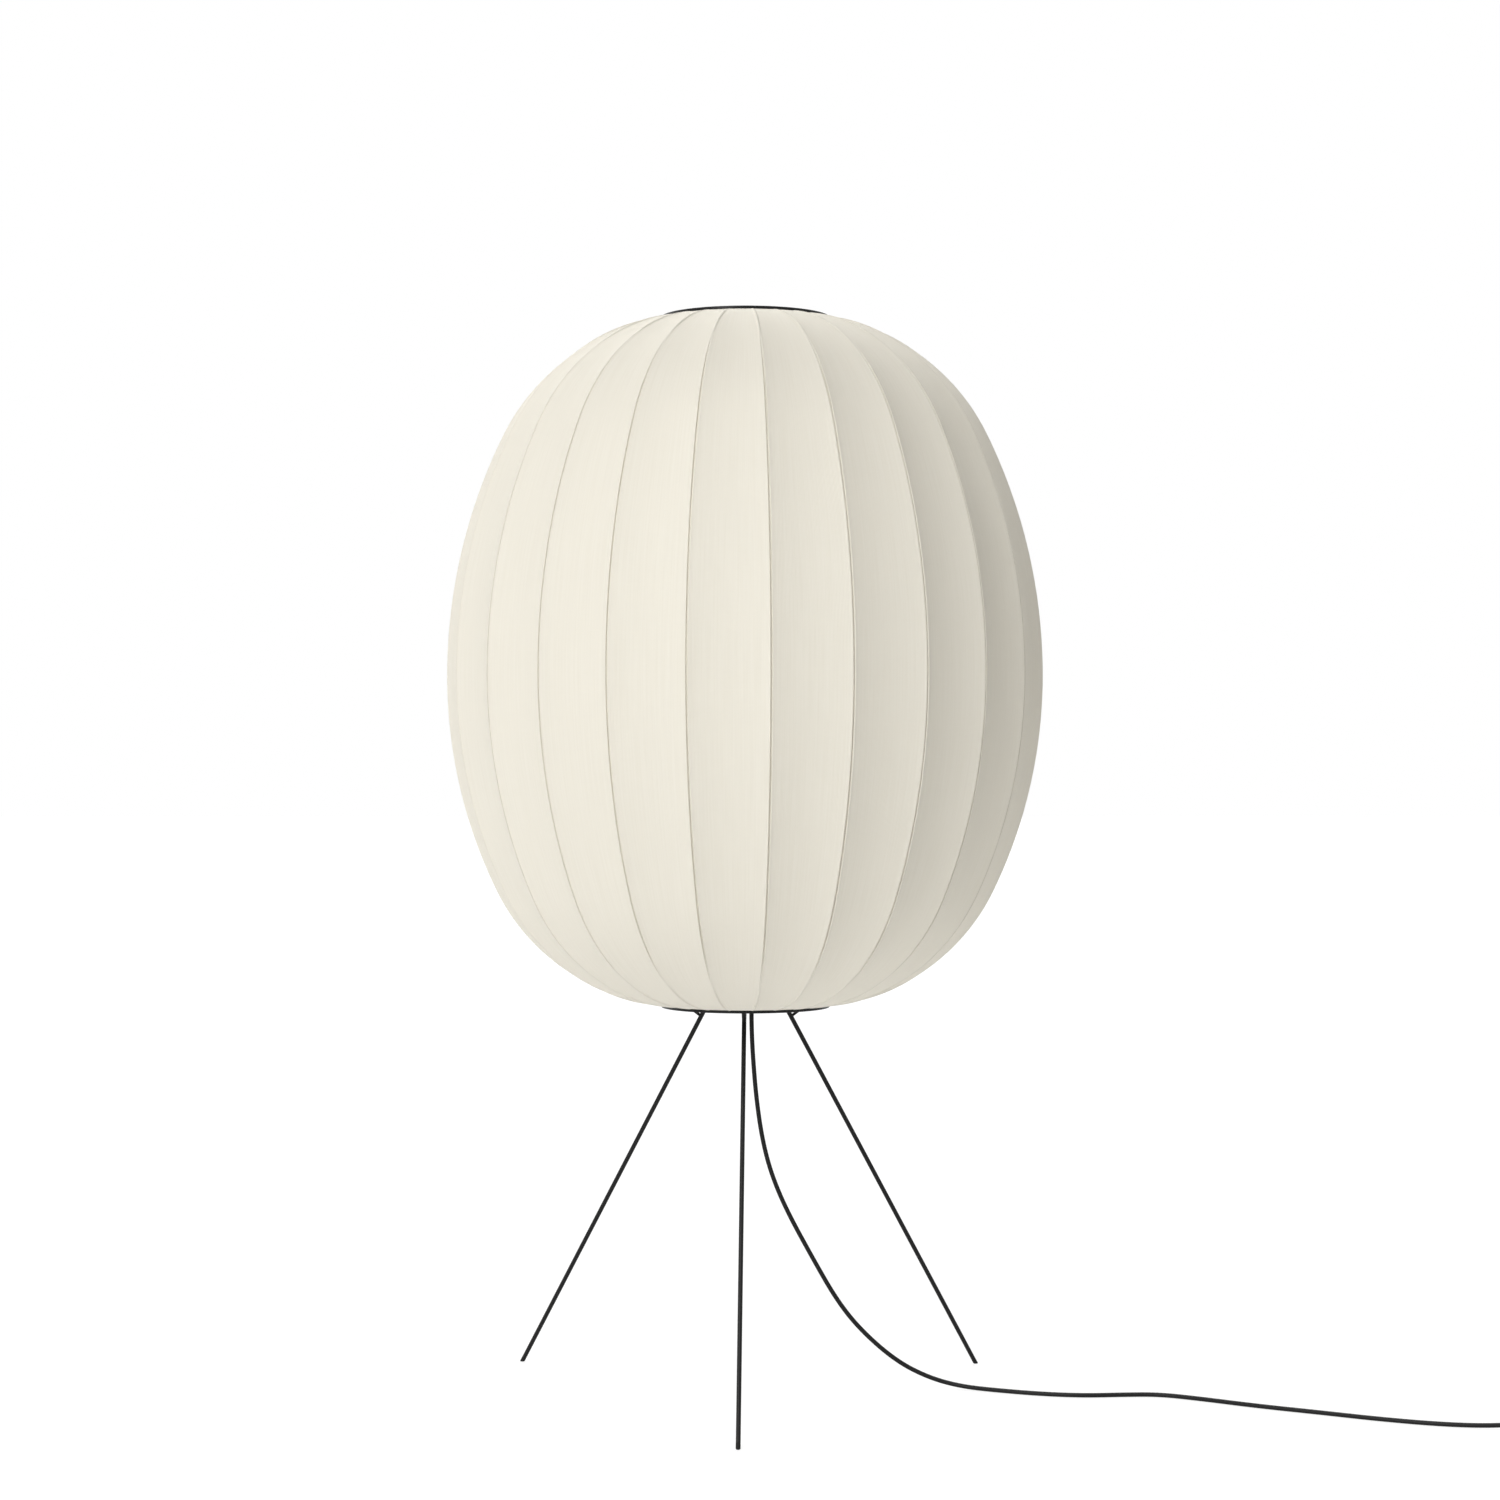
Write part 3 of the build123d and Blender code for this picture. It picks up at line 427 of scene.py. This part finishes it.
LINK = (
    (947.0, -183.0, 6.0),
    (961.0, -183.0, 6.0),
    (976.0, -175.5, 4.5),
    (990.0, -158.0, 2.5),
    (993.0, -140.0, 2.5),
)
TO_PLUG = ((*COIL_START, COIL_HIGH), (COIL_START[0], -102.0, COIL_HIGH))
cord_coil = cord("cord_coil_visible", "cord_coil", (*LINK, *coil_points(), *TO_PLUG))


# Plug: a flat two-pin body that swells towards its nose, with a finger grip and a strain relief

PLUG_LENGTH = 36.0
PLUG_STEPS = 90
PLUG_WAY = ((1, 0, 0), (0, 1, 0))
PIN_SPACING = 19.0
PIN_SIDES = 24
GRIP_START, GRIP_PITCH, GRIP_COUNT = 6.0, 2.4, 4
plug_low, plug_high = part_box("plug_body")
PLUG = ((plug_low.x + plug_high.x) * 500, plug_high.y * 1000 - PLUG_LENGTH, 8.0)


def smooth(share):
    """A soft step from 0 to 1."""
    share = min(1.0, max(0.0, share))
    return share * share * (3 - 2 * share)


def plug_ring(at):
    """A section of the plug's body, at a distance from its cord end."""
    swell = smooth((at - 2) / 18)
    end = max(0.0, 1 - at / 3.5) ** 2 * 4.5 + max(0.0, 1 - (PLUG_LENGTH - at) / 1.6) ** 2 * 1.8
    groove = (at - GRIP_START) / GRIP_PITCH
    grip = 0.45 * max(0.0, math.sin(groove * 2 * math.pi)) if 0 < groove < GRIP_COUNT else 0.0
    width = 25.5 + 9.5 * swell - 2 * end - 2 * grip
    height = 13.8 + 2.2 * swell - 2 * end - 2 * grip
    return rounded_box_ring(width, height, min(height / 2 - 0.2, 6.2), at)


plug_rings = [plug_ring(PLUG_LENGTH * n / PLUG_STEPS) for n in range(PLUG_STEPS + 1)]
plug_pieces = [
    skin("plug_shell", plug_rings, "plug_body", place=(PLUG, *PLUG_WAY)),
    relief("plug_relief", "plug_body", PLUG, (0, -1, 0)),
]
for name, side in (("left", -1), ("right", 1)):
    nose = (PLUG[0] + side * PIN_SPACING / 2, PLUG[1] + PLUG_LENGTH, PLUG[2])
    sleeve = turned([(1.9, -1), (1.9, 9.7), (1.75, 10)], sides=PIN_SIDES)
    metal = [(1.5, 9.5), (1.85, 10), (2, 10.3), (2, 17.6)]
    metal += [(2 * math.cos(a), 17.6 + 1.4 * math.sin(a)) for a in (0.4, 0.8, 1.2, 1.5)]
    metal = turned(metal, sides=PIN_SIDES)
    place = (nose, *PLUG_WAY)
    plug_pieces += [
        skin(f"plug_pin_sleeve_{name}", sleeve, "plug_pins", "black_plastic", place=place),
        skin(f"plug_pin_{name}", metal, "plug_pins", place=place),
    ]

cord(
    "cord_inner_visible",
    "cord_inner",
    ((6.4, 9.0, 418.0), (6.4, 9.0, 440.0), (0, 0, 490.0), (0, 0, 557.0)),
)


# Shade outline: the two-centre ovals of the source, in millimetres

RIB_COUNT = 24
RIB_START = -84.0
HALF_GORE = math.radians(180 / RIB_COUNT)
WIDEST_RADIUS, WIDEST_HEIGHT = 325.0, 779.015
HEM_RADIUS = 92.2
HALVES = {
    1: {"hem_z": 1168.8, "slope": math.radians(9.5), "shoulder": 235.0},
    -1: {"hem_z": 421.2, "slope": math.radians(5.7), "shoulder": 224.0},
}


def oval(side):
    """Centres, radii and angles of the upper (1) or lower (-1) half outline."""
    half = HALVES[side]
    shoulder, slope = half["shoulder"], half["slope"]
    rise = abs(half["hem_z"] - WIDEST_HEIGHT)
    centre_r = HEM_RADIUS - shoulder * math.sin(slope)
    centre_rise = rise - shoulder * math.cos(slope)
    reach = WIDEST_RADIUS - centre_r
    flank = (reach**2 + centre_rise**2 - shoulder**2) / (2 * (reach - shoulder))
    turn = math.atan2(centre_rise, centre_r - (WIDEST_RADIUS - flank))
    return flank, turn, centre_r, centre_rise, shoulder, math.pi / 2 - slope


def meridian(flank_steps, shoulder_steps):
    """Points of the rib line from top hem to bottom hem: radius, height and outward normal."""
    rows = []
    for side in (1, -1):
        flank, turn, centre_r, centre_rise, shoulder, hem = oval(side)
        arcs = [
            (WIDEST_RADIUS - flank, 0.0, flank, turn * n / flank_steps) for n in range(flank_steps)
        ]
        arcs += [
            (centre_r, centre_rise, shoulder, turn + (hem - turn) * n / shoulder_steps)
            for n in range(shoulder_steps + 1)
        ]
        half = []
        for arc_r, arc_rise, radius, angle in arcs:
            out, up = math.cos(angle), math.sin(angle)
            height = WIDEST_HEIGHT + side * (arc_rise + radius * up)
            half.append((arc_r + radius * out, height, out, side * up))
        rows.append(half)
    return rows[0][::-1] + rows[1][1:]


# Knitted cover: gores that curve inwards between the ribs, with a crease over each rib that turns
# into a slight ridge near the rings, and painted shade on the faces over each rib. CHANNEL gives,
# for distances beside the rib, crease and ridge.

SAG = 4.2
GORE_WIDTH = 84.8
SAG_RUN = 70.0
HEM_RELIEF, HEM_RUN = 0.3, 45.0
CREASE_START, CREASE_RUN = 150.0, 110.0
KNIT_THICKNESS = 0.8
CHANNEL = (
    (0.0, -2.2, 1.1),
    (0.35, -2.1, 1.05),
    (0.62, -1.5, 0.85),
    (0.82, -0.5, 0.62),
    (1.0, 0.05, 0.4),
    (1.3, 0.3, 0.12),
    (1.9, 0.25, -0.1),
    (3.0, 0.08, -0.06),
    (5.0, 0.0, 0.0),
)
CHANNEL_COLUMNS = 4
OPEN_STEPS = 12
HEM_TUCKS = (6.5, 3.0)


def cover_row(row):
    """The outer face across a gore at a row: share of the gore, radius, height and turn."""
    r, z, normal_r, normal_z = row
    width = 2 * r * math.sin(HALF_GORE)
    relief = HEM_RELIEF + (1 - HEM_RELIEF) * smooth((r - HEM_RADIUS) / HEM_RUN)
    flank = smooth((r - CREASE_START) / CREASE_RUN)
    beside = [(at / width, ridge + (crease - ridge) * flank) for at, crease, ridge in CHANNEL]
    edge = beside[-1][0]
    columns = beside + [(edge + (1 - 2 * edge) * n / OPEN_STEPS, 0.0) for n in range(1, OPEN_STEPS)]
    columns += [(1 - at, rise) for at, rise in beside[:0:-1]]
    sag = SAG * (width / GORE_WIDTH) * min(1.0, max(0.0, (r - HEM_RADIUS) / SAG_RUN))
    points = []
    for share, rise in columns:
        off_middle = 2 * share - 1
        turn = off_middle * HALF_GORE
        out = rise * relief - sag * (1 - off_middle * off_middle)
        reach = r * math.cos(HALF_GORE) / math.cos(turn) + out * normal_r
        points.append((share, reach, z + out * normal_z, turn))
    return points


def build_cover():
    """The cover's outer face from hem to hem, with its map of wales and courses, made thick."""
    rows = meridian(56, 46)
    top, bottom = rows[0], rows[-1]
    rows = (
        [(top[0] - tuck, top[1], 0.0, 1.0) for tuck in HEM_TUCKS]
        + rows
        + [(bottom[0] - tuck, bottom[1], 0.0, -1.0) for tuck in HEM_TUCKS[::-1]]
    )
    vertices, faces, across, along, painted_rib_shade = [], [], [], [], []
    length = 0.0
    for index, row in enumerate(rows):
        if index:
            before = rows[index - 1]
            length += math.hypot(row[0] - before[0], row[1] - before[1])
        points = cover_row(row)
        for gore in range(RIB_COUNT):
            middle = math.radians(RIB_START) + HALF_GORE * (2 * gore + 1)
            for share, r, z, turn in points:
                vertices.append(Vector(around((0, 0), r, middle + turn, z)) / 1000)
                across.append(gore + share)
                along.append(length)
    per_gore = len(points)
    columns = RIB_COUNT * per_gore
    for i in range(len(rows) - 1):
        for j in range(columns):
            k = (j + 1) % columns
            low, high = i * columns, (i + 1) * columns
            faces.append((low + j, high + j, high + k, low + k))
            # Faces over the rib get the knit with painted shade: a darker colour that stands for
            # the wire's shadow in the crease.
            painted_rib_shade.append(int(not CHANNEL_COLUMNS <= j % per_gore < per_gore - CHANNEL_COLUMNS))
    cover = mesh_piece("knitted_cover", vertices, faces, knit)
    cover.data.materials.append(knit_painted_rib_shade)
    cover.data.polygons.foreach_set("material_index", painted_rib_shade)
    layer = cover.data.uv_layers.new(name="knit")
    for polygon in cover.data.polygons:
        column = polygon.index % columns
        for loop_index in polygon.loop_indices:
            vertex = cover.data.loops[loop_index].vertex_index
            u = across[vertex]
            if column == columns - 1 and vertex % columns == 0:
                u += RIB_COUNT
            layer.data[loop_index].uv = (u / RIB_COUNT, along[vertex] / 1000)
    cover.data.materials.append(knit_inner)
    thick = cover.modifiers.new("thickness", "SOLIDIFY")
    thick.thickness = KNIT_THICKNESS / 1000
    thick.offset = -1
    thick.use_even_offset = False
    thick.material_offset = 2
    return cover


WALES = RIB_COUNT * 60
COURSES = 800
LET_THROUGH = 0.25


def knit_material(name, depth):
    """Cream knit: fine upright wales, faint courses and streaks of slightly different yarn."""
    material, tree, shader = new_material(name)
    make, join = tree.nodes.new, tree.links.new
    shader.inputs["Roughness"].default_value = 0.92
    shader.inputs["Specular IOR Level"].default_value = 0.2
    shader.inputs["Sheen Weight"].default_value = 0.12
    shader.inputs["Sheen Roughness"].default_value = 0.5
    place = make("ShaderNodeUVMap")
    place.uv_map = "knit"
    split = make("ShaderNodeSeparateXYZ")
    join(place.outputs["UV"], split.inputs["Vector"])

    def sine(source, turns):
        scaled = make("ShaderNodeMath")
        scaled.operation = "MULTIPLY"
        scaled.inputs[1].default_value = turns * 2 * math.pi
        wave = make("ShaderNodeMath")
        wave.operation = "SINE"
        join(source, scaled.inputs[0])
        join(scaled.outputs[0], wave.inputs[0])
        return wave.outputs[0]

    wales = sine(split.outputs["X"], WALES)
    courses = sine(split.outputs["Y"], COURSES)
    mapping = make("ShaderNodeMapping")
    mapping.inputs["Scale"].default_value = (1100.0, 9.0, 1.0)
    join(place.outputs["UV"], mapping.inputs["Vector"])
    streaks = make("ShaderNodeTexNoise")
    streaks.inputs["Scale"].default_value = 1.0
    streaks.inputs["Detail"].default_value = 2.0
    join(mapping.outputs["Vector"], streaks.inputs["Vector"])
    tones = ((0.846, 0.812, 0.720), (0.870, 0.838, 0.750))
    # A depth under 1 darkens both tones; this is painted shade for the faces over the ribs.
    low, high = ([channel * depth for channel in tone] for tone in tones)
    ramp = two_tone(tree, shader.inputs["Base Color"], streaks, low, high, 0.3)
    total = make("ShaderNodeMath")
    total.operation = "MULTIPLY_ADD"
    total.inputs[1].default_value = 0.35
    join(courses, total.inputs[0])
    join(wales, total.inputs[2])
    bump = make("ShaderNodeBump")
    bump.inputs["Strength"].default_value = 0.25
    bump.inputs["Distance"].default_value = 0.00025
    join(total.outputs[0], bump.inputs["Height"])
    join(bump.outputs["Normal"], shader.inputs["Normal"])
    through = make("ShaderNodeBsdfTranslucent")
    join(ramp.outputs["Color"], through.inputs["Color"])
    both = make("ShaderNodeMixShader")
    both.inputs["Fac"].default_value = LET_THROUGH
    join(shader.outputs["BSDF"], both.inputs[1])
    join(through.outputs["BSDF"], both.inputs[2])
    join(both.outputs["Shader"], tree.nodes["Material Output"].inputs["Surface"])
    return material


def inner_face_material(name):
    """The knit's inner face, which passes on the light that the outer face lets through."""
    material, tree, shader = new_material(name)
    through = tree.nodes.new("ShaderNodeBsdfTranslucent")
    noise = noise_bump(tree, shader, 900.0, 0.2, 0.0003)
    two_tone(tree, through.inputs["Color"], noise, (0.93, 0.92, 0.89), (0.96, 0.95, 0.93))
    tree.links.new(through.outputs["BSDF"], tree.nodes["Material Output"].inputs["Surface"])
    return material


knit = knit_material("cream_knit", 1.0)
# The knit over the ribs is 6 % darker: painted shade for the wire's shadow and the crease.
knit_painted_rib_shade = knit_material("cream_knit_painted_rib_shade", 0.94)
knit_inner = inner_face_material("cream_knit_inner")
cover = link(build_cover(), ["shade_fabric"])


# Rib wires: round spring wire just inside each crease or ridge, with level ends in the clamps

RIB_WIRE = 2.6
RIB_SIDES = 8
RIB_END_RADIUS = 83.0
RIB_INSET = 2.8
RIB_LIFT, RIB_LIFT_RUN = 1.0, 40.0
RIB_DROP = 2.5


def build_ribs():
    """All the rib wires as one mesh of round tubes."""
    line = []
    for r, z, normal_r, normal_z in meridian(20, 18):
        inset = RIB_INSET - RIB_LIFT * smooth((r - HEM_RADIUS) / RIB_LIFT_RUN)
        inset += RIB_DROP * smooth((r - CREASE_START) / CREASE_RUN)
        line.append((r - inset * normal_r, z - inset * normal_z))
    line = [(RIB_END_RADIUS, line[0][1])] + line + [(RIB_END_RADIUS, line[-1][1])]
    sides = RIB_SIDES
    vertices, faces = [], []
    for rib in range(RIB_COUNT):
        angle = math.radians(RIB_START + rib * 360 / RIB_COUNT)
        outwards = Vector((math.cos(angle), math.sin(angle), 0))
        across = Vector((-math.sin(angle), math.cos(angle), 0))
        base = len(vertices)
        for index, (r, z) in enumerate(line):
            before = line[max(index - 1, 0)]
            after = line[min(index + 1, len(line) - 1)]
            run_r, run_z = after[0] - before[0], after[1] - before[1]
            size = math.hypot(run_r, run_z)
            normal = outwards * (run_z / size) + Vector((0, 0, -run_r / size))
            centre = outwards * r + Vector((0, 0, z))
            for side in range(sides):
                turn = 2 * math.pi * side / sides
                offset = (normal * math.cos(turn) + across * math.sin(turn)) * (RIB_WIRE / 2)
                vertices.append((centre + offset) / 1000)
        for index in range(len(line) - 1):
            for side in range(sides):
                a = base + index * sides + side
                b = base + index * sides + (side + 1) % sides
                faces.append((a, b, b + sides, a + sides))
        faces.append(tuple(base + side for side in range(sides))[::-1])
        last = base + (len(line) - 1) * sides
        faces.append(tuple(last + side for side in range(sides)))
    return mesh_piece("rib_wires", vertices, faces, MATERIALS["rib_steel"])


link(build_ribs(), [f"rib_{number + 1:02d}" for number in range(RIB_COUNT)])


# Rings, tripod and bracket keep their solids' forms, with rounded edges

for node, width in {
    "bottom_plate": 0.4,
    "top_clamp_ring": 0.3,
    "bottom_clamp_ring": 0.3,
    "leg_front": 0.3,
    "leg_rear_right": 0.3,
    "leg_rear_left": 0.3,
    "leg_wedges": 0.3,
    "leg_nuts": 0.4,
    "foot_tips": 0.4,
    "holder_bracket": 0.4,
    "clamp_screws": 0.3,
    "bracket_screws": 0.3,
    "tube_nut": 0.4,
    "holder_insulator": 0.5,
    "centre_contact": 0.15,
}.items():
    rounded_copy(node, width)


# Lampholder and bulb: turned forms with their threads, flutes and soft edges

def band(node, outer, inner, pitch=0.0, depth=0.0, grip=0, sides=64, edge=0.3):
    """A turned sleeve between a node's ends, with a thread or flutes on its outside."""
    low, high = heights(node)
    steps = max(1, round((high - low) / pitch * 8)) if pitch else 1
    rings = []
    for n in range(steps + 1):
        height = low + (high - low) * n / steps
        wave = thread(pitch, depth, height) if pitch else flutes(grip, depth) if grip else None
        rings.append(circle(outer, height, sides, wave))
    rings += [circle(inner, high, sides), circle(inner, low, sides)]
    return skin(f"{node}_turned", rings, node, closed=True, edge=0 if pitch else edge)


band("top_ring", 92.0, 75.0, sides=144, edge=0.5)
band("threaded_tube", 5.0, 3.8, pitch=1.0, depth=0.5, sides=32)
band("cord_grip", 7.0, 2.7, grip=12, depth=0.6)
band("screw_shell", 14.3, 13.7, pitch=3.6, depth=0.5)
band("holder_ring", 26.0, 21.1, grip=36, depth=0.9, sides=288)
band("bulb_cap", 13.1, 12.2, pitch=3.6, depth=0.8)

HOLDER_RADIUS = 21.0
cap_low, cap_high = heights("holder_cap")
cap_levels = [(5.1, 0.0), (10.2, 0.0), (11.0, 0.8), (12.2, 3.4), (15.6, 7.6), (19.4, 10.4)]
cap_rings = turned([*cap_levels, (HOLDER_RADIUS, 12.4)], cap_low)
cap_rings.append(circle(HOLDER_RADIUS, cap_high - 8))
for height in (cap_high - 7.6, cap_high - 0.6):
    cap_rings.append(circle(HOLDER_RADIUS, height, wave=flutes(24, 0.5)))
cap_rings += turned([(20.6, 0.0), (19.0, 0.0)], cap_high)
cap_rings += turned([(19.0, 12.1), (5.1, 12.0)], cap_low)
skin("holder_cap_turned", cap_rings, "holder_cap", closed=True)

BODY_THREAD_TURNS, BODY_THREAD_PITCH, STEPS_PER_TURN = 9, 2.5, 8
body_low, body_high = heights("holder_body")
body_rings = turned([(HOLDER_RADIUS, 0.0), (HOLDER_RADIUS, 11.5)], body_low)
for n in range(STEPS_PER_TURN * BODY_THREAD_TURNS + 1):
    height = body_low + 12 + BODY_THREAD_PITCH * n / STEPS_PER_TURN
    body_rings.append(circle(20.95, height, wave=thread(BODY_THREAD_PITCH, 0.7, height)))
body_rings += turned([(20.6, -5), (20.6, -0.5), (20.1, 0.0), (19.0, 0.0)], body_high)
body_rings += turned([(19.0, 12), (16.6, 12), (16.6, 0.0)], body_low)
skin("holder_body_turned", body_rings, "holder_body", closed=True)

base_low, base_high = heights("bulb_base")
base_levels = [(2.0, 0.0), (4.0, 0.3), (4.5, 1.0), (4.5, 2.5), (5.2, 2.6), (8.5, 3.4), (11.6, 5.0)]
base_rings = turned([*base_levels, (13.0, base_high - base_low)], base_low)
skin("bulb_base_turned", base_rings, "bulb_base")

COLLAR_STEPS = 16
collar_low, collar_high = heights("bulb_collar")
collar_rings = turned([(13.1, 0.0), (14.2, 0.4)], collar_low)
for n in range(COLLAR_STEPS + 1):
    share = n / COLLAR_STEPS
    height = collar_low + 0.6 + (collar_high - collar_low - 1.0) * share
    collar_rings.append(circle(14.2 + 5.8 * smooth(share * 0.9 + 0.1), height))
collar_rings += turned([(19.6, -0.1), (19.4, 0.0)], collar_high)
skin("bulb_collar_turned", collar_rings, "bulb_collar")

GLOBE_RADIUS, GLOBE_MOUTH, GLOBE_STEPS = 30.0, 20.0, 32
globe_low = heights("bulb_globe")[0]
globe_centre = globe_low + math.sqrt(GLOBE_RADIUS**2 - GLOBE_MOUTH**2)
start = math.asin((globe_low - globe_centre) / GLOBE_RADIUS)
globe_levels = [(19.4, globe_low - globe_centre)]
for n in range(GLOBE_STEPS + 1):
    angle = start + (math.pi / 2 - 0.02 - start) * n / GLOBE_STEPS
    globe_levels.append((GLOBE_RADIUS * math.cos(angle), GLOBE_RADIUS * math.sin(angle)))
skin("bulb_globe_blown", turned(globe_levels, globe_centre, 64), "bulb_globe")

grommet_low = heights("grommet")[0]
grommet_levels = [(2.6, -0.9), (3.6, -1.2), (5.2, -1.0), (5.8, -0.4), (5.6, 0.0), (4.55, 0.0)]
grommet_levels += [(4.55, 3.0), (6.0, 3.0), (6.1, 3.5), (5.6, 4.0), (2.6, 4.0)]
grommet_rings = turned(grommet_levels, grommet_low, 40, CORD_EXIT)
skin("grommet_turned", grommet_rings, "grommet", closed=True)


# Floor, world and lights

def seen_directly(tree):
    """An output that is 1 for what the camera or a gloss sees, and 0 for what lights the object."""
    path = tree.nodes.new("ShaderNodeLightPath")
    seen = tree.nodes.new("ShaderNodeMath")
    seen.operation = "MAXIMUM"
    tree.links.new(path.outputs["Is Camera Ray"], seen.inputs[0])
    tree.links.new(path.outputs["Is Glossy Ray"], seen.inputs[1])
    return seen.outputs[0]


def light_path_floor(name, bounce, seen_albedo, glow):
    """White sweep that throws light back, and that the camera sees as white with faint shadows."""
    material, tree, shader = new_material(name)
    make, join = tree.nodes.new, tree.links.new
    shader.inputs["Roughness"].default_value = 0.9
    shader.inputs["Specular IOR Level"].default_value = 0.1
    noise = noise_bump(tree, shader, 60.0, 0.05, 0.001)
    two_tone(tree, shader.inputs["Base Color"], noise, (bounce,) * 3, (bounce + 0.01,) * 3)
    shadow = make("ShaderNodeBsdfDiffuse")
    shadow.inputs["Color"].default_value = (seen_albedo, seen_albedo, seen_albedo, 1)
    light = make("ShaderNodeEmission")
    light.inputs["Strength"].default_value = glow
    both = make("ShaderNodeAddShader")
    join(shadow.outputs["BSDF"], both.inputs[0])
    join(light.outputs["Emission"], both.inputs[1])
    mix = make("ShaderNodeMixShader")
    join(seen_directly(tree), mix.inputs["Fac"])
    join(shader.outputs["BSDF"], mix.inputs[1])
    join(both.outputs["Shader"], mix.inputs[2])
    join(mix.outputs["Shader"], tree.nodes["Material Output"].inputs["Surface"])
    return material


floor_material = light_path_floor("pale_floor", 0.88, 0.25, 0.80)
floor = mesh_piece(
    "floor",
    [(-30, -30, -0.0004), (30, -30, -0.0004), (30, 30, -0.0004), (-30, 30, -0.0004)],
    [(0, 1, 2, 3)],
    floor_material,
)
scene.collection.objects.link(floor)

world = bpy.data.worlds.new("studio")
world.use_nodes = True
scene.world = world
tree = world.node_tree
ambient = tree.nodes["Background"]
ambient.inputs["Color"].default_value = (1, 1, 1, 1)
strength = tree.nodes.new("ShaderNodeMapRange")
strength.inputs["To Min"].default_value = 0.03
strength.inputs["To Max"].default_value = 1.0
tree.links.new(seen_directly(tree), strength.inputs["Value"])
tree.links.new(strength.outputs["Result"], ambient.inputs["Strength"])


def sun(name, azimuth, elevation, power, softness):
    """A soft sun from a compass direction: 0 is from the front, positive from the left."""
    data = bpy.data.lights.new(name, "SUN")
    data.energy = power
    data.angle = math.radians(softness)
    obj = bpy.data.objects.new(name, data)
    a, e = math.radians(azimuth), math.radians(elevation)
    source = Vector((-math.sin(a) * math.cos(e), -math.cos(a) * math.cos(e), math.sin(e)))
    obj.rotation_euler = source.to_track_quat("Z", "Y").to_euler()
    scene.collection.objects.link(obj)


sun("key", 28, 12, 1.06, 24)
sun("high_key", 25, 40, 1.40, 30)
sun("side", 120, 15, 0.67, 50)
sun("back", 180, 40, 2.64, 40)
sun("top", 0, 80, 0.79, 40)

scene.view_settings.view_transform = "Standard"
